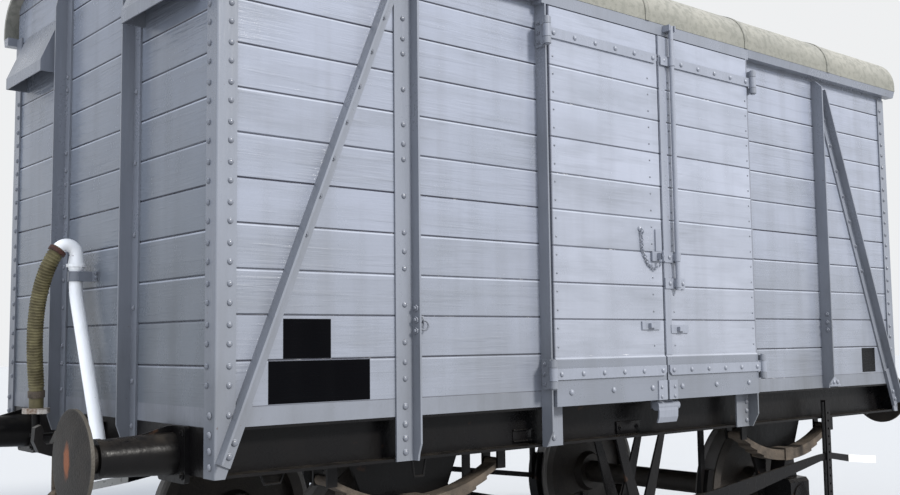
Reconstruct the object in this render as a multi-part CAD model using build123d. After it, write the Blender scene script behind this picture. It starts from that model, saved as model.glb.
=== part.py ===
"""Four-wheel covered goods van for the railway, 17 ft 6 in over headstocks, drawn in millimetres.

X runs along the van, Y across it and Z up. The origin is under the middle of the van, at the
lowest point of the wheel flanges. The end with the hanging hose is at -X. Both sides are alike:
the far one is the near one turned half a turn about Z.
"""
from build123d import *
import os
from math import atan2, cos, degrees, hypot, radians, sin, sqrt, tan

# Driving sizes
RAIL = 28.0                      # top of rail, as deep as a wheel flange
LENGTH = 5334.0                  # over the corner plates, 17 ft 6 in
WIDTH = 2438.0                   # over the corner plates, 8 ft
PLATE = 10.0                     # thickness of plates and angles
WHEELBASE = 3048.0               # 10 ft
TREAD_R = 476.0
JOURNAL_Y = 1010.0               # middle of a journal and its spring
BUFFER_Z = RAIL + 1035.0
BUFFER_Y = 870.0
BUFFER_REACH = 445.0             # buffer face beyond the headstock

# Levels of the body
CURB_Z = RAIL + 1150.0           # underside of the curb rail, top of the solebar
CURB_H = 77.0
SOLE_DEPTH = 195.0
SOLE_Z = CURB_Z - SOLE_DEPTH
WALL_Z = CURB_Z + CURB_H         # foot of the planking
WALL_TOP = CURB_Z + 2030.0       # underside of the cantrail
SKIRT_Z = CURB_Z + 2095.0        # lower edge of the roof sheet
SPRING_Z = CURB_Z + 2134.0       # where the roof starts to curve
PLANK = 183.6
WALL = 45.0
GROOVE = 5.0
END_PLANK = 181.0                # the end planks are a little narrower than the side planks
END_JOINT = WALL_Z + 164         # and start lower

# Planes of the body
SIDE_Y = WIDTH / 2 - PLATE       # outer face of the side planks
END_X = LENGTH / 2 - PLATE       # outer face of the end planks
AXLE_X = WHEELBASE / 2
AXLE_Z = RAIL + TREAD_R

# Roof section, three arcs
ROOF_HALF = 1283.0
ROOF_RISE = 432.0
SHOULDER_R = 200.0
ROOF_T = 22.0
ROOF_OVER = 50.0
CANT_DEEP = 75.0                 # depth of a cantrail across the van

# Doors
POST_X = 865.0                   # inner face of a door post's outstanding leg
DOORWAY_X = 745.0
POST_OUT = 72.0                  # outer edge of a door post from the side planks
HEADER_X = 895.0
HEADER_Y = ROOF_HALF - 2.0
LEAF_EDGE = 858.0
LEAF_GAP = 6.0                   # from the middle of the van to a leaf
LEAF_FACE = SIDE_Y + 80.0
LEAF_T = 55.0
LEAF_Z = CURB_Z + 2.0
LEAF_TOP = CURB_Z + 2020.0
LEAF_JOINT = CURB_Z + 432.0      # lowest joint between a leaf's planks
LEAF_GROOVE = 5.0
LEDGE_Z = CURB_Z + 242.0         # top of a leaf's thicker bottom rail
LEDGE_OUT = 10.0
STRAP_T = 10.0
PIN_X = 890.0
PIN_Y = LEAF_FACE + 21.0
PIN_R = 8.0
KNUCKLE_R = 21.0
HINGE_Z = [CURB_Z + 160.0, CURB_Z + 1881.0]
BAR_X = 95.0
BAR_Y = LEAF_FACE + 28.0
BAR_R = 13.5
SLEEVE_R = 18.0                  # no further in than the face of the upper strap
BAR_TOP = CURB_Z + 2082.0

# Side framing
TEE_FLANGE = 127.0
STANCHIONS = [                   # inner and outer X of the flat leg, and reach of the other leg
    (1682.0, 1785.0, 62.0),      # left of the doorway
    (1719.0, 1760.0, 78.0),      # right of it
]
END_TEE_Y = 424.0
END_TEE_OUT = 60.0
TEE_FOOT = CURB_Z - 90.0         # foot of the end stanchions, on the headstock
DIAGONAL_HEAD = (1775.0, WALL_TOP - 60.0)        # X and Z of the bar's middle line
DIAGONAL_FOOT = (2634.0, CURB_Z - 144.0)
DIAGONAL_HALF = 32.0
CORNER_SIDE = 90.0               # legs of a corner plate along the side and along the end
CORNER_END = 90.0
SOLE_WEB_Y = SIDE_Y - 99.0       # inner face of a solebar's web
FLANGE = 12.0


def block(x, y, z):
    """Box between two corners, each axis given as a pair."""
    size = [abs(pair[1] - pair[0]) for pair in (x, y, z)]
    middle = [(pair[1] + pair[0]) / 2 for pair in (x, y, z)]
    return Pos(*middle) * Box(*size)


def section_x(points, x0, x1):
    """Outline in Y and Z, drawn out along X."""
    face = make_face(Polyline(*[(x0, y, z) for y, z in points], close=True))
    return extrude(face, amount=x1 - x0, dir=(1, 0, 0))


def section_y(points, y0, y1):
    """Outline in X and Z, drawn out along Y."""
    face = make_face(Polyline(*[(x, y0, z) for x, z in points], close=True))
    return extrude(face, amount=y1 - y0, dir=(0, 1, 0))


def section_z(points, z0, z1):
    """Outline in X and Y, drawn out along Z."""
    face = make_face(Polyline(*[(x, y, z0) for x, y in points], close=True))
    return extrude(face, amount=z1 - z0, dir=(0, 0, 1))


def rod(radius, start, end):
    """Round bar between two points."""
    start, end = Vector(*start), Vector(*end)
    plane = Plane(origin=start, z_dir=end - start)
    return plane * Pos(0, 0, (end - start).length / 2) * Cylinder(radius, (end - start).length)


def turned(solids):
    """The same pieces on the other side, half a turn about Z."""
    return [Rot(0, 0, 180) * solid for solid in solids]


def both_sides(solids):
    return solids + turned(solids)


def mirrored_x(solids):
    return solids + [mirror(solid, about=Plane.YZ) for solid in solids]


def four(solids):
    """One piece at each corner of the van."""
    return both_sides(mirrored_x(solids))


def save(name, solids):
    parts = solids if isinstance(solids, list) else [solids]
    loose = [solid for part in parts for solid in part.solids()]
    export_step(Compound(loose), f"parts/{name}.step")


# Roof section

def arch(inset, x0, x1, foot):
    """Solid arch under the roof's outer line less an inset, down to the level foot."""
    small = SHOULDER_R - inset
    centre_y = ROOF_HALF - SHOULDER_R
    crown = (centre_y ** 2 + ROOF_RISE ** 2 - SHOULDER_R ** 2) / (2 * (ROOF_RISE - SHOULDER_R))
    crown_z = SPRING_Z + ROOF_RISE - crown
    lean = atan2(SPRING_Z - crown_z, centre_y)
    half = ROOF_HALF - inset
    top = SPRING_Z + ROOF_RISE - inset
    join = (centre_y + small * cos(lean), SPRING_Z + small * sin(lean))
    mid = (centre_y + small * cos(lean / 2), SPRING_Z + small * sin(lean / 2))

    def at(y, z):
        return (x0, y, z)

    edge = [
        Line(at(-half, foot), at(half, foot)),
        Line(at(half, foot), at(half, SPRING_Z)),
        ThreePointArc(at(half, SPRING_Z), at(*mid), at(*join)),
        ThreePointArc(at(*join), at(0, top), at(-join[0], join[1])),
        ThreePointArc(at(-join[0], join[1]), at(-mid[0], mid[1]), at(-half, SPRING_Z)),
        Line(at(-half, SPRING_Z), at(-half, foot)),
    ]
    return extrude(make_face(edge), amount=x1 - x0, dir=(1, 0, 0))


def roof():
    """Sheet of even thickness over the whole van."""
    reach = LENGTH / 2 + ROOF_OVER
    return arch(0, -reach, reach, SKIRT_Z) - arch(ROOF_T, -reach - 1, reach + 1, SKIRT_Z - 1)


def roof_ribs():
    """Bent ribs under the sheet, between the cantrails."""
    ribs = []
    reach = SIDE_Y - CANT_DEEP
    for x in (-2100, -1400, -700, 0, 700, 1400, 2100):
        rib = arch(ROOF_T, x - 20, x + 20, WALL_TOP + 60) - arch(ROOF_T + 45, x - 21, x + 21, WALL_TOP)
        ribs.append(rib & block((x - 20, x + 20), (-reach, reach), (WALL_TOP, SPRING_Z + ROOF_RISE)))
    return ribs


def cantrails():
    """Timbers along the top of the sides, each with a deep header over the doorway."""
    under = arch(ROOF_T, -END_X, END_X, WALL_TOP)
    rails = []
    for side in (-1, 1):
        ys = (side * (SIDE_Y - CANT_DEEP), side * SIDE_Y)
        rail = under & block((-END_X + WALL, END_X - WALL), ys, (WALL_TOP, SPRING_Z + 200))
        header = block((-HEADER_X, HEADER_X), (side * SIDE_Y, side * HEADER_Y), (WALL_TOP, SKIRT_Z))
        rails.append(rail + header)
    return rails


def cant_mouldings():
    """Strips under the roof's edge, from the door header to the end of the roof."""
    foot = SKIRT_Z - 46
    outline = [(-SIDE_Y, foot), (-HEADER_Y + 14, foot), (-HEADER_Y, SKIRT_Z), (-SIDE_Y, SKIRT_Z)]
    return four([section_x(outline, HEADER_X, LENGTH / 2 + ROOF_OVER)])


# Walls

def grooves(face, depth, level, top, pitch):
    """Points of the V grooves at the joints from one level up; a negative depth cuts towards -Y."""
    points = []
    while level < top - 40:
        points += [(face, level - abs(depth)), (face + depth, level), (face, level + abs(depth))]
        level += pitch
    return points


def plank_edge(face, back, joint, top, pitch):
    """Outline of a planked wall, flat behind and grooved in front from its lowest joint up."""
    depth = -GROOVE if face > back else GROOVE
    return [(back, WALL_Z), (face, WALL_Z)] + grooves(face, depth, joint, top, pitch) + [(face, top), (back, top)]


def side_planking(side):
    outline = plank_edge(side * SIDE_Y, side * (SIDE_Y - WALL), WALL_Z + PLANK, WALL_TOP, PLANK)
    return [section_x(outline, x0, x1) for x0, x1 in ((-END_X + WALL, -DOORWAY_X), (DOORWAY_X, END_X - WALL))]


def end_planking(end):
    outline = plank_edge(end * END_X, end * (END_X - WALL), END_JOINT, SPRING_Z + ROOF_RISE, END_PLANK)
    wall = section_y(outline, -SIDE_Y, SIDE_Y)
    return wall & arch(ROOF_T, -END_X - 1, END_X + 1, WALL_Z)


def curb_rails():
    rails = []
    for side in (-1, 1):
        ys = (side * (SIDE_Y - WALL), side * SIDE_Y)
        rails.append(block((-END_X + WALL, END_X - WALL), ys, (CURB_Z, WALL_Z)))
    for end in (-1, 1):
        xs = (end * (END_X - WALL), end * END_X)
        rails.append(block(xs, (-SIDE_Y, SIDE_Y), (CURB_Z, WALL_Z)))
    return rails


def floor():
    return block((-END_X + WALL, END_X - WALL), (-SIDE_Y + WALL, SIDE_Y - WALL), (CURB_Z, CURB_Z + 60))


def diagonal_x(z, offset):
    """X at a level on a line beside a diagonal's middle line."""
    (x0, z0), (x1, z1) = DIAGONAL_HEAD, DIAGONAL_FOOT
    slope = (x1 - x0) / (z0 - z1)
    return x0 + (z0 - z) * slope + offset * hypot(1, slope)


def corner_plates():
    """Bent plates, the side leg cut away at its foot along the lower edge of the diagonal."""
    outer_x, outer_y = LENGTH / 2, WIDTH / 2
    inner_x = outer_x - CORNER_SIDE
    legs = [
        (inner_x, -outer_y), (outer_x, -outer_y), (outer_x, -outer_y + CORNER_END),
        (END_X, -outer_y + CORNER_END), (END_X, -SIDE_Y), (inner_x, -SIDE_Y),
    ]
    plate = section_z(legs, SOLE_Z, WALL_TOP)
    bend = plate.edges().filter_by(Axis.Z).sort_by_distance((outer_x, -outer_y, SOLE_Z + 1000))[0]
    plate = fillet(bend, PLATE - 1)
    plate += block((END_X, outer_x), (-SIDE_Y, -outer_y + CORNER_END), (WALL_TOP, WALL_TOP + 55))
    foot, high = SOLE_Z - 1, CURB_Z
    plate -= section_y([
        (inner_x - 200, foot), (diagonal_x(foot, -DIAGONAL_HALF), foot),
        (diagonal_x(high, -DIAGONAL_HALF), high), (inner_x - 200, high),
    ], -outer_y - 1, -SIDE_Y + 1)
    return four([plate])


# Stanchions

def side_angle(way, row, foot):
    """Angle bar on the near side, one leg flat on the wall, the other cut back at both ends."""
    inner, outer, reach = row
    flat = block((way * inner, way * outer), (-SIDE_Y - PLATE, -SIDE_Y), (foot, WALL_TOP))
    edge_y = -SIDE_Y - reach
    out = section_x([
        (-SIDE_Y, foot), (-SIDE_Y - 40, foot), (-SIDE_Y - 45, foot + 30), (edge_y, foot + 75),
        (edge_y, WALL_TOP - 45), (-SIDE_Y - 31, WALL_TOP), (-SIDE_Y, WALL_TOP),
    ], *sorted((way * inner, way * (inner + 10))))
    return flat + out


def side_stanchions():
    """The left one reaches down over the solebar, the right one stops at it above the lever guide."""
    return both_sides([side_angle(-1, STANCHIONS[0], SOLE_Z), side_angle(1, STANCHIONS[1], CURB_Z)])


def end_stanchions():
    y = END_TEE_Y
    outer = LENGTH / 2 + END_TEE_OUT
    back = END_X
    flange = block((back, back + PLATE), (y - TEE_FLANGE / 2, y + TEE_FLANGE / 2), (TEE_FOOT, SPRING_Z + 290))
    web = section_y([
        (back + PLATE, TEE_FOOT), (back + 45, TEE_FOOT), (outer, TEE_FOOT + 70),
        (outer, SKIRT_Z - 20), (back + 30, SPRING_Z + 120), (back + PLATE, SPRING_Z + 120),
    ], y - 5, y + 5)
    tee = flange + web
    return four([tee])


def door_posts():
    """Angles: one leg stands out beside the door, cut back at its foot, the other lies flat behind it."""
    edge_y = -SIDE_Y - POST_OUT
    out = section_x([
        (-SIDE_Y, SOLE_Z), (-SIDE_Y - 30, SOLE_Z), (edge_y, SOLE_Z + 75), (edge_y, WALL_TOP),
        (-SIDE_Y, WALL_TOP),
    ], POST_X, POST_X + PLATE)
    flat = block((DOORWAY_X - 5, POST_X), (-SIDE_Y - PLATE, -SIDE_Y), (SOLE_Z, WALL_TOP))
    return four([out + flat])


def side_diagonals():
    """Angle bars from the head of a stanchion down over the foot of the corner plate."""
    (x0, z0), (x1, z1) = DIAGONAL_HEAD, DIAGONAL_FOOT
    length = hypot(x1 - x0, z1 - z0)
    tilt = degrees(atan2(z1 - z0, x1 - x0))
    half = DIAGONAL_HALF
    bar = block((0, length), (-PLATE, 0), (-half, half))
    bar += block((0, length), (-60, -PLATE), (half - PLATE, half))
    bar += block((length - 265, length), (-2 * PLATE, -PLATE), (-half, half))
    placed = Pos(x0, -SIDE_Y, z0) * Rot(0, -tilt, 0) * bar
    placed -= block((LENGTH / 2 - CORNER_SIDE, LENGTH / 2 + 1), (-SIDE_Y - PLATE, -SIDE_Y), (SOLE_Z, WALL_TOP))
    left, right = [placed & block((outer, LENGTH / 2), (-SIDE_Y - 60, -SIDE_Y), (SOLE_Z, WALL_TOP))
                   for inner, outer, reach in STANCHIONS]
    return both_sides([mirror(left, about=Plane.YZ), right])


# Underframe

def solebars():
    """Channels with the flanges outward."""
    bars = []
    for side in (-1, 1):
        toe, web = side * SIDE_Y, side * SOLE_WEB_Y
        outer = web + side * PLATE
        outline = [
            (web, SOLE_Z), (toe, SOLE_Z), (toe, SOLE_Z + FLANGE), (outer, SOLE_Z + FLANGE),
            (outer, CURB_Z - FLANGE), (toe, CURB_Z - FLANGE), (toe, CURB_Z), (web, CURB_Z),
        ]
        bars.append(section_x(outline, -END_X + FLANGE, END_X - FLANGE))
    return bars


def headstocks():
    """Channels with the flanges inward."""
    bars = []
    for end in (-1, 1):
        back = end * (END_X - FLANGE)
        bar = block((back, end * END_X), (-SIDE_Y, SIDE_Y), (SOLE_Z, CURB_Z))
        for z in (SOLE_Z, CURB_Z - FLANGE):
            bar += block((end * (END_X - 90), back), (-SOLE_WEB_Y, SOLE_WEB_Y), (z, z + FLANGE))
        bars.append(bar)
    return bars


def solebar_loops():
    """Rod loops that hang from the solebar's lower flange, each two legs and a foot."""
    bar = 5
    y = -SIDE_Y + 59
    loops = []
    for x, half, foot_half, drop in ((-2370, 58, 36, 46), (-1610, 41, 26, 82)):
        high, low = SOLE_Z + bar, SOLE_Z - drop
        corners = [(x - half, y, high), (x - foot_half, y, low), (x + foot_half, y, low), (x + half, y, high)]
        loop = Pos(*corners[1]) * Sphere(bar) + Pos(*corners[2]) * Sphere(bar)
        for start, end in zip(corners, corners[1:]):
            loop += rod(bar, start, end)
        loops.append(loop - block((x - 80, x + 80), (y - 20, y + 20), (SOLE_Z, SOLE_Z + 40)))
    return both_sides(loops)


SILL_Y, SILL_HALF = 330.0, 30.0
BEARER_LOW = CURB_Z - 130


def middle_sills():
    xs = (-END_X + 90, END_X - 90)
    return [block(xs, (y - SILL_HALF, y + SILL_HALF), (BEARER_LOW, CURB_Z)) for y in (-SILL_Y, SILL_Y)]


def cross_bearers():
    """Bearers between the solebars, cut where they meet the sills."""
    inner, outer = SILL_Y - SILL_HALF, SILL_Y + SILL_HALF
    spans = ((-SOLE_WEB_Y, -outer), (-inner, inner), (outer, SOLE_WEB_Y))
    places = [(x, ys) for x in (-1960, -640, 0, 640, 1960) for ys in spans]
    return [block((x - 35, x + 35), ys, (BEARER_LOW, CURB_Z)) for x, ys in places]


# Running gear

def wheel(side):
    """Disc wheel with a dished web, turned about the axle."""
    flange_r = TREAD_R + 28
    back = 680.0
    outline = [
        (80, back - 30), (130, back - 30), (150, back + 20), (400, back + 60), (405, back + 4),
        (flange_r - 14, back), (flange_r, back + 10), (flange_r - 6, back + 24), (TREAD_R + 2, back + 34),
        (TREAD_R - 4, back + 127), (410, back + 131), (402, back + 84), (150, back + 70), (130, back + 150),
        (80, back + 150),
    ]
    face = make_face(Polyline(*[(r, side * y, 0) for r, y in outline], close=True))
    return revolve(face, Axis.Y)


def axle():
    """Axle from one journal's end to the other, in steps of radius."""
    steps = [(58, 1062), (58, 880), (80, 860), (80, 560), (72, 500)]
    outline = [(0, -1062)] + [(r, -y) for r, y in steps] + [(r, y) for r, y in reversed(steps)] + [(0, 1062)]
    face = make_face(Polyline(*[(r, y, 0) for r, y in outline], close=True))
    return revolve(face, Axis.Y)


GUARD_Y = 925.0                  # inner face of an axleguard
GUARD_T = 20.0
BOX_OUT = 1130.0                 # front of an axlebox
BOX_BACK = 890.0
BOX_HALF = 105.0
SEAT_Z = AXLE_Z + 215.0          # where the spring's buckle stands


def axleboxes():
    """Boxes with a low sloping front and a seat for the spring behind it."""
    boxes = []
    for x in (-AXLE_X, AXLE_X):
        shell = section_x([
            (-BOX_BACK, AXLE_Z - 125), (-BOX_OUT + 12, AXLE_Z - 125), (-BOX_OUT, AXLE_Z - 105),
            (-BOX_OUT, AXLE_Z + 80), (-BOX_OUT + 18, AXLE_Z + 103), (-BOX_BACK, AXLE_Z + 118),
        ], x - BOX_HALF, x + BOX_HALF)
        shell += section_y([
            (x - 85, AXLE_Z + 90), (x + 85, AXLE_Z + 90), (x + 50, SEAT_Z), (x - 50, SEAT_Z),
        ], -JOURNAL_Y - 50, -JOURNAL_Y + 50)
        for side in (-1, 1):
            groove_x = (x + side * (BOX_HALF - 15), x + side * (BOX_HALF + 1))
            shell -= block(groove_x, (-GUARD_Y - GUARD_T - 3, -GUARD_Y + 3), (AXLE_Z - 126, AXLE_Z + 130))
        cap = rod(72, (x, -BOX_OUT, AXLE_Z - 10), (x, -BOX_OUT - 8, AXLE_Z - 10))
        bore = rod(60, (x, -1075, AXLE_Z), (x, -BOX_BACK + 1, AXLE_Z))
        boxes.append(shell + cap - bore)
    return both_sides(boxes)


def axleguards():
    """Plates with two legs that hold each axlebox fore and aft."""
    guards = []
    outer = -GUARD_Y - GUARD_T
    for x in (-AXLE_X, AXLE_X):
        outline = [
            (x - 330, CURB_Z - 14), (x + 330, CURB_Z - 14), (x + 330, SOLE_Z), (x + 165, AXLE_Z + 100),
            (x + 165, AXLE_Z - 190), (x + 93, AXLE_Z - 190), (x + 93, AXLE_Z + 240), (x + 60, AXLE_Z + 290),
            (x - 60, AXLE_Z + 290), (x - 93, AXLE_Z + 240), (x - 93, AXLE_Z - 190), (x - 165, AXLE_Z - 190),
            (x - 165, AXLE_Z + 100), (x - 330, SOLE_Z),
        ]
        plate = section_y(outline, outer, -GUARD_Y)
        plate += block((x - 300, x + 300), (-SOLE_WEB_Y, outer), (SOLE_Z + 20, CURB_Z - 30))
        keep = block((x - 165, x + 165), (outer - 12, outer), (AXLE_Z - 190, AXLE_Z - 150))
        guards.append(plate + keep)
    return both_sides(guards)


SPRING_TOP = AXLE_Z + 281.0      # upper face of the top leaf at the buckle
SPRING_LEAF = 13.0
SPRING_HALVES = [500.0, 485.0, 415.0, 345.0, 275.0]
SPRING_SAG = 134.0
SPRING_WIDE = 90.0
EYE_DROP = 12.0                  # middle of an end eye below the top leaf's tip


def spring_leaf(x, number):
    """One leaf: a band between two arcs of one middle, with the shorter leaves below."""
    half = SPRING_HALVES[number]
    radius = (SPRING_HALVES[0] ** 2 + SPRING_SAG ** 2) / (2 * SPRING_SAG)
    inner = radius + SPRING_LEAF * number
    outer = inner + SPRING_LEAF

    def at(r, dx):
        return (x + dx, -JOURNAL_Y - SPRING_WIDE / 2, SPRING_TOP + radius - sqrt(r * r - dx * dx))

    edge = [
        ThreePointArc(at(inner, -half), at(inner, 0), at(inner, half)),
        Line(at(inner, half), at(outer, half)),
        ThreePointArc(at(outer, half), at(outer, 0), at(outer, -half)),
        Line(at(outer, -half), at(inner, -half)),
    ]
    return extrude(make_face(edge), amount=SPRING_WIDE, dir=(0, 1, 0))


def leaf_springs():
    """Stacks of arched leaves with a buckle at the middle and an eye at each end of the top leaf."""
    springs = []
    eye_z = SPRING_TOP + SPRING_SAG - EYE_DROP
    ys = (-JOURNAL_Y - SPRING_WIDE / 2, -JOURNAL_Y + SPRING_WIDE / 2)
    for x in (-AXLE_X, AXLE_X):
        spring = spring_leaf(x, 0)
        for number in range(1, len(SPRING_HALVES)):
            spring += spring_leaf(x, number)
        for eye_x in (x - SPRING_HALVES[0], x + SPRING_HALVES[0]):
            spring += rod(24, (eye_x, ys[0], eye_z), (eye_x, ys[1], eye_z))
            spring -= rod(15, (eye_x, ys[0] - 1, eye_z), (eye_x, ys[1] + 1, eye_z))
        spring += block((x - 45, x + 45), (ys[0] - 10, ys[1] + 10), (SEAT_Z, SPRING_TOP + 12))
        springs.append(spring)
    return both_sides(springs)


def spring_hangers():
    """A plate behind the solebar's web with two lugs and a pin through each spring's eye."""
    hangers = []
    eye_z = SPRING_TOP + SPRING_SAG - EYE_DROP
    lug_y = SPRING_WIDE / 2 + 4
    for x in (-AXLE_X, AXLE_X):
        for eye_x in (x - SPRING_HALVES[0], x + SPRING_HALVES[0]):
            near, far = -JOURNAL_Y - lug_y - 12, -JOURNAL_Y + lug_y + 12
            hanger = block((eye_x - 70, eye_x + 70), (-SOLE_WEB_Y, far), (SOLE_Z, SOLE_Z + 14))
            for ys in ((near, near + 12), (far - 12, far)):
                hanger += block((eye_x - 26, eye_x + 26), ys, (eye_z - 26, SOLE_Z))
            hanger += rod(14, (eye_x, near, eye_z), (eye_x, far, eye_z))
            hangers.append(hanger)
    return both_sides(hangers)


# Brake gear

SHAFT_X, SHAFT_Z = -125.0, RAIL + 495.0
ROD_OUT = 776.0                  # outer face of the flat brake rods
SHOE_GAP = 9.0


def brake_shaft():
    """Cross shaft with a double arm beside each wheel."""
    shaft = rod(32, (SHAFT_X, -1216, SHAFT_Z), (SHAFT_X, 1216, SHAFT_Z))
    for side in (-1, 1):
        ys = (side * ROD_OUT, side * (ROD_OUT + 20))
        shaft += block((SHAFT_X - 22, SHAFT_X + 22), ys, (SHAFT_Z - 130, SHAFT_Z + 130))
    return shaft


def vee_hangers():
    """Straps that carry the brake shaft, one under the solebar's toe and one behind its web."""
    hangers = []
    feet = (SHAFT_X - 176, SHAFT_X + 176)
    for y in (-SIDE_Y, -1051):
        outline = [
            (feet[0] - 24, SOLE_Z), (feet[0] + 24, SOLE_Z), (SHAFT_X, SHAFT_Z + 95), (feet[1] - 24, SOLE_Z),
            (feet[1] + 24, SOLE_Z), (SHAFT_X + 55, SHAFT_Z - 10), (SHAFT_X + 40, SHAFT_Z - 50),
            (SHAFT_X - 40, SHAFT_Z - 50), (SHAFT_X - 55, SHAFT_Z - 10),
        ]
        strap = section_y(outline, y, y + FLANGE)
        hangers.append(strap - rod(32, (SHAFT_X, y - 20, SHAFT_Z), (SHAFT_X, y + 20, SHAFT_Z)))
    for foot in feet:
        hangers.append(block((foot - 24, foot + 24), (-SOLE_WEB_Y, -1051 + FLANGE), (SOLE_Z, SOLE_Z + 20)))
    return both_sides(hangers)


def brake_blocks():
    """A shoe at each wheel, on a hanger from under the floor."""
    blocks = []
    inner = TREAD_R + SHOE_GAP
    for x, way in ((-AXLE_X, 1), (AXLE_X, -1)):
        ring = Pos(x, -764, AXLE_Z) * Rot(90, 0, 0) * (Cylinder(inner + 52, 80) - Cylinder(inner, 82))
        shoe = ring & block((x + way * 380, x + way * 600), (-810, -720), (AXLE_Z - 170, AXLE_Z + 170))
        hang_x = x + way * (inner + 46)
        hanger = section_y([
            (hang_x - way * 20, AXLE_Z - 20), (hang_x + way * 22, AXLE_Z - 20),
            (hang_x + way * 22, CURB_Z), (hang_x - way * 20, CURB_Z),
        ], -774, -754)
        blocks.append(shoe + hanger)
    return both_sides(blocks)


def brake_rods():
    """Flat rods from the shaft's arms to the hangers."""
    reach = AXLE_X - TREAD_R - SHOE_GAP - 46 - 22
    rods = []
    for way in (-1, 1):
        arm_z, end_z = SHAFT_Z - way * 110, AXLE_Z + 10
        outline = [
            (SHAFT_X, arm_z - 18), (way * reach, end_z - 18),
            (way * reach, end_z + 18), (SHAFT_X, arm_z + 18),
        ]
        rods.append(section_y(outline, -ROD_OUT, -ROD_OUT + 16))
    return both_sides(rods)


def brake_levers():
    """Long side lever, deep at the shaft, narrow and level at its handle."""
    outline = [
        (SHAFT_X - 50, SHAFT_Z - 45), (SHAFT_X + 20, SHAFT_Z - 55), (833, RAIL + 558), (1605, RAIL + 686),
        (1740, RAIL + 694), (1960, RAIL + 658), (2303, RAIL + 622), (2303, RAIL + 668), (1960, RAIL + 702),
        (1740, RAIL + 734), (1605, RAIL + 729), (SHAFT_X, SHAFT_Z + 58), (SHAFT_X - 50, SHAFT_Z + 45),
    ]
    return both_sides([section_y(outline, -1231, -1216)])


def lever_guides():
    """Two straps hung from the solebar with the lever between them, the outer one with pin holes."""
    x0, low, high = 1700.0, RAIL + 430, CURB_Z - 78
    xs = (x0 - 25, x0 + 25)
    near, far = -SIDE_Y - 34, -SIDE_Y - 24
    guide = block(xs, (near, far), (low, high))
    for number in range(11):
        hole_z = low + 60 + 50 * number
        guide -= rod(8, (x0, near - 1, hole_z), (x0, far + 1, hole_z))
    guide += block(xs, (-SIDE_Y - 5, -SIDE_Y), (low, high))
    for z in (low, high - 12):
        guide += block(xs, (near, -SIDE_Y), (z, z + 12))
    return both_sides([guide])


# Buffers and drawgear

HOUSING = 345.0                  # length of a buffer housing
RAM_R = 55.0


def buffer_housings():
    """Tapered barrel with a ring at its mouth, on a bolted base with a rib above."""
    outline = [(0, 0), (88, 0), (88, 30), (75, HOUSING - 23), (79, HOUSING - 23), (79, HOUSING), (0, HOUSING)]
    barrel = revolve(make_face(Polyline(*[(r, 0, z) for r, z in outline], close=True)), Axis.Z)
    base = extrude(RectangleRounded(230, 250, 20), 22)
    housings = []
    for end in (-1, 1):
        for y in (-BUFFER_Y, BUFFER_Y):
            rib = section_y([
                (end * (END_X + 20), BUFFER_Z + 78), (end * (END_X + 20), BUFFER_Z + 112),
                (end * (END_X + 42), BUFFER_Z + 112), (end * (END_X + 175), BUFFER_Z + 78),
            ], y - 5, y + 5)
            housings.append(Pos(end * END_X, y, BUFFER_Z) * Rot(0, end * 90, 0) * (barrel + base) + rib)
    return housings


def buffer_heads():
    """Large flat head, slightly crowned, on its ram."""
    edge_r, crown = 200.0, 12.0
    crown_r = (edge_r ** 2 + crown ** 2) / (2 * crown)
    mid_r = edge_r / 2
    mid_z = BUFFER_REACH - crown_r + sqrt(crown_r ** 2 - mid_r ** 2)
    rim_z = BUFFER_REACH - crown
    back = [
        (0, HOUSING), (RAM_R, HOUSING), (RAM_R, BUFFER_REACH - 40), (115, BUFFER_REACH - 32),
        (edge_r, rim_z - 14), (edge_r, rim_z),
    ]
    profile = [Line((a[0], 0, a[1]), (b[0], 0, b[1])) for a, b in zip(back, back[1:])]
    profile.append(ThreePointArc((edge_r, 0, rim_z), (mid_r, 0, mid_z), (0, 0, BUFFER_REACH)))
    profile.append(Line((0, 0, BUFFER_REACH), (0, 0, HOUSING)))
    head = revolve(make_face(profile), Axis.Z)
    places = [(end, y) for end in (-1, 1) for y in (-BUFFER_Y, BUFFER_Y)]
    return [Pos(end * END_X, y, BUFFER_Z) * Rot(0, end * 90, 0) * head for end, y in places]


EYE_X, EYE_Z, EYE_R = 160.0, -6.0, 28.0      # eye in the hook's shank, from the headstock and buffer line


def drawhooks():
    """Hook on a square shank through a plate on the headstock."""
    out = []
    for end in (-1, 1):
        plate = block((0, 20), (-130, 130), (-90, 90))
        shank = block((20, 130), (-28, 28), (-30, 30))
        hook = section_y([
            (120, -45), (200, -62), (262, -40), (285, 10), (280, 72), (252, 84), (240, 60), (246, 14),
            (228, -6), (200, -4), (186, 26), (176, 50), (120, 45),
        ], -22, 22)
        hook -= Pos(EYE_X, 0, EYE_Z) * Rot(90, 0, 0) * Cylinder(EYE_R, 60)
        out.append(Pos(end * END_X, 0, BUFFER_Z) * Rot(0, 0, 0 if end > 0 else 180) * (plate + shank + hook))
    return out


def link(length, width, bar):
    """Closed link of round bar, standing on end."""
    half = length / 2 - width / 2
    r = width / 2
    path = Wire([
        Line((0, -r, -half), (0, -r, half)),
        ThreePointArc((0, -r, half), (0, 0, half + r), (0, r, half)),
        Line((0, r, half), (0, r, -half)),
        ThreePointArc((0, r, -half), (0, 0, -half - r), (0, -r, -half)),
    ])
    profile = Plane(origin=(0, -r, 0), z_dir=(0, 0, 1)) * Circle(bar / 2)
    return sweep(profile, path)


def coupling(end):
    """Three links hanging from the eye of one hook."""
    height, width, bar = 250, 96, 32
    top = BUFFER_Z - 10
    links = []
    for number in range(3):
        chain_link = Rot(0, 0, 90 * (number % 2)) * link(height, width, bar)
        links.append(Pos(end * (END_X + EYE_X), 0, top - height / 2) * chain_link)
        top += bar - height
    return links


# Doors

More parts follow.
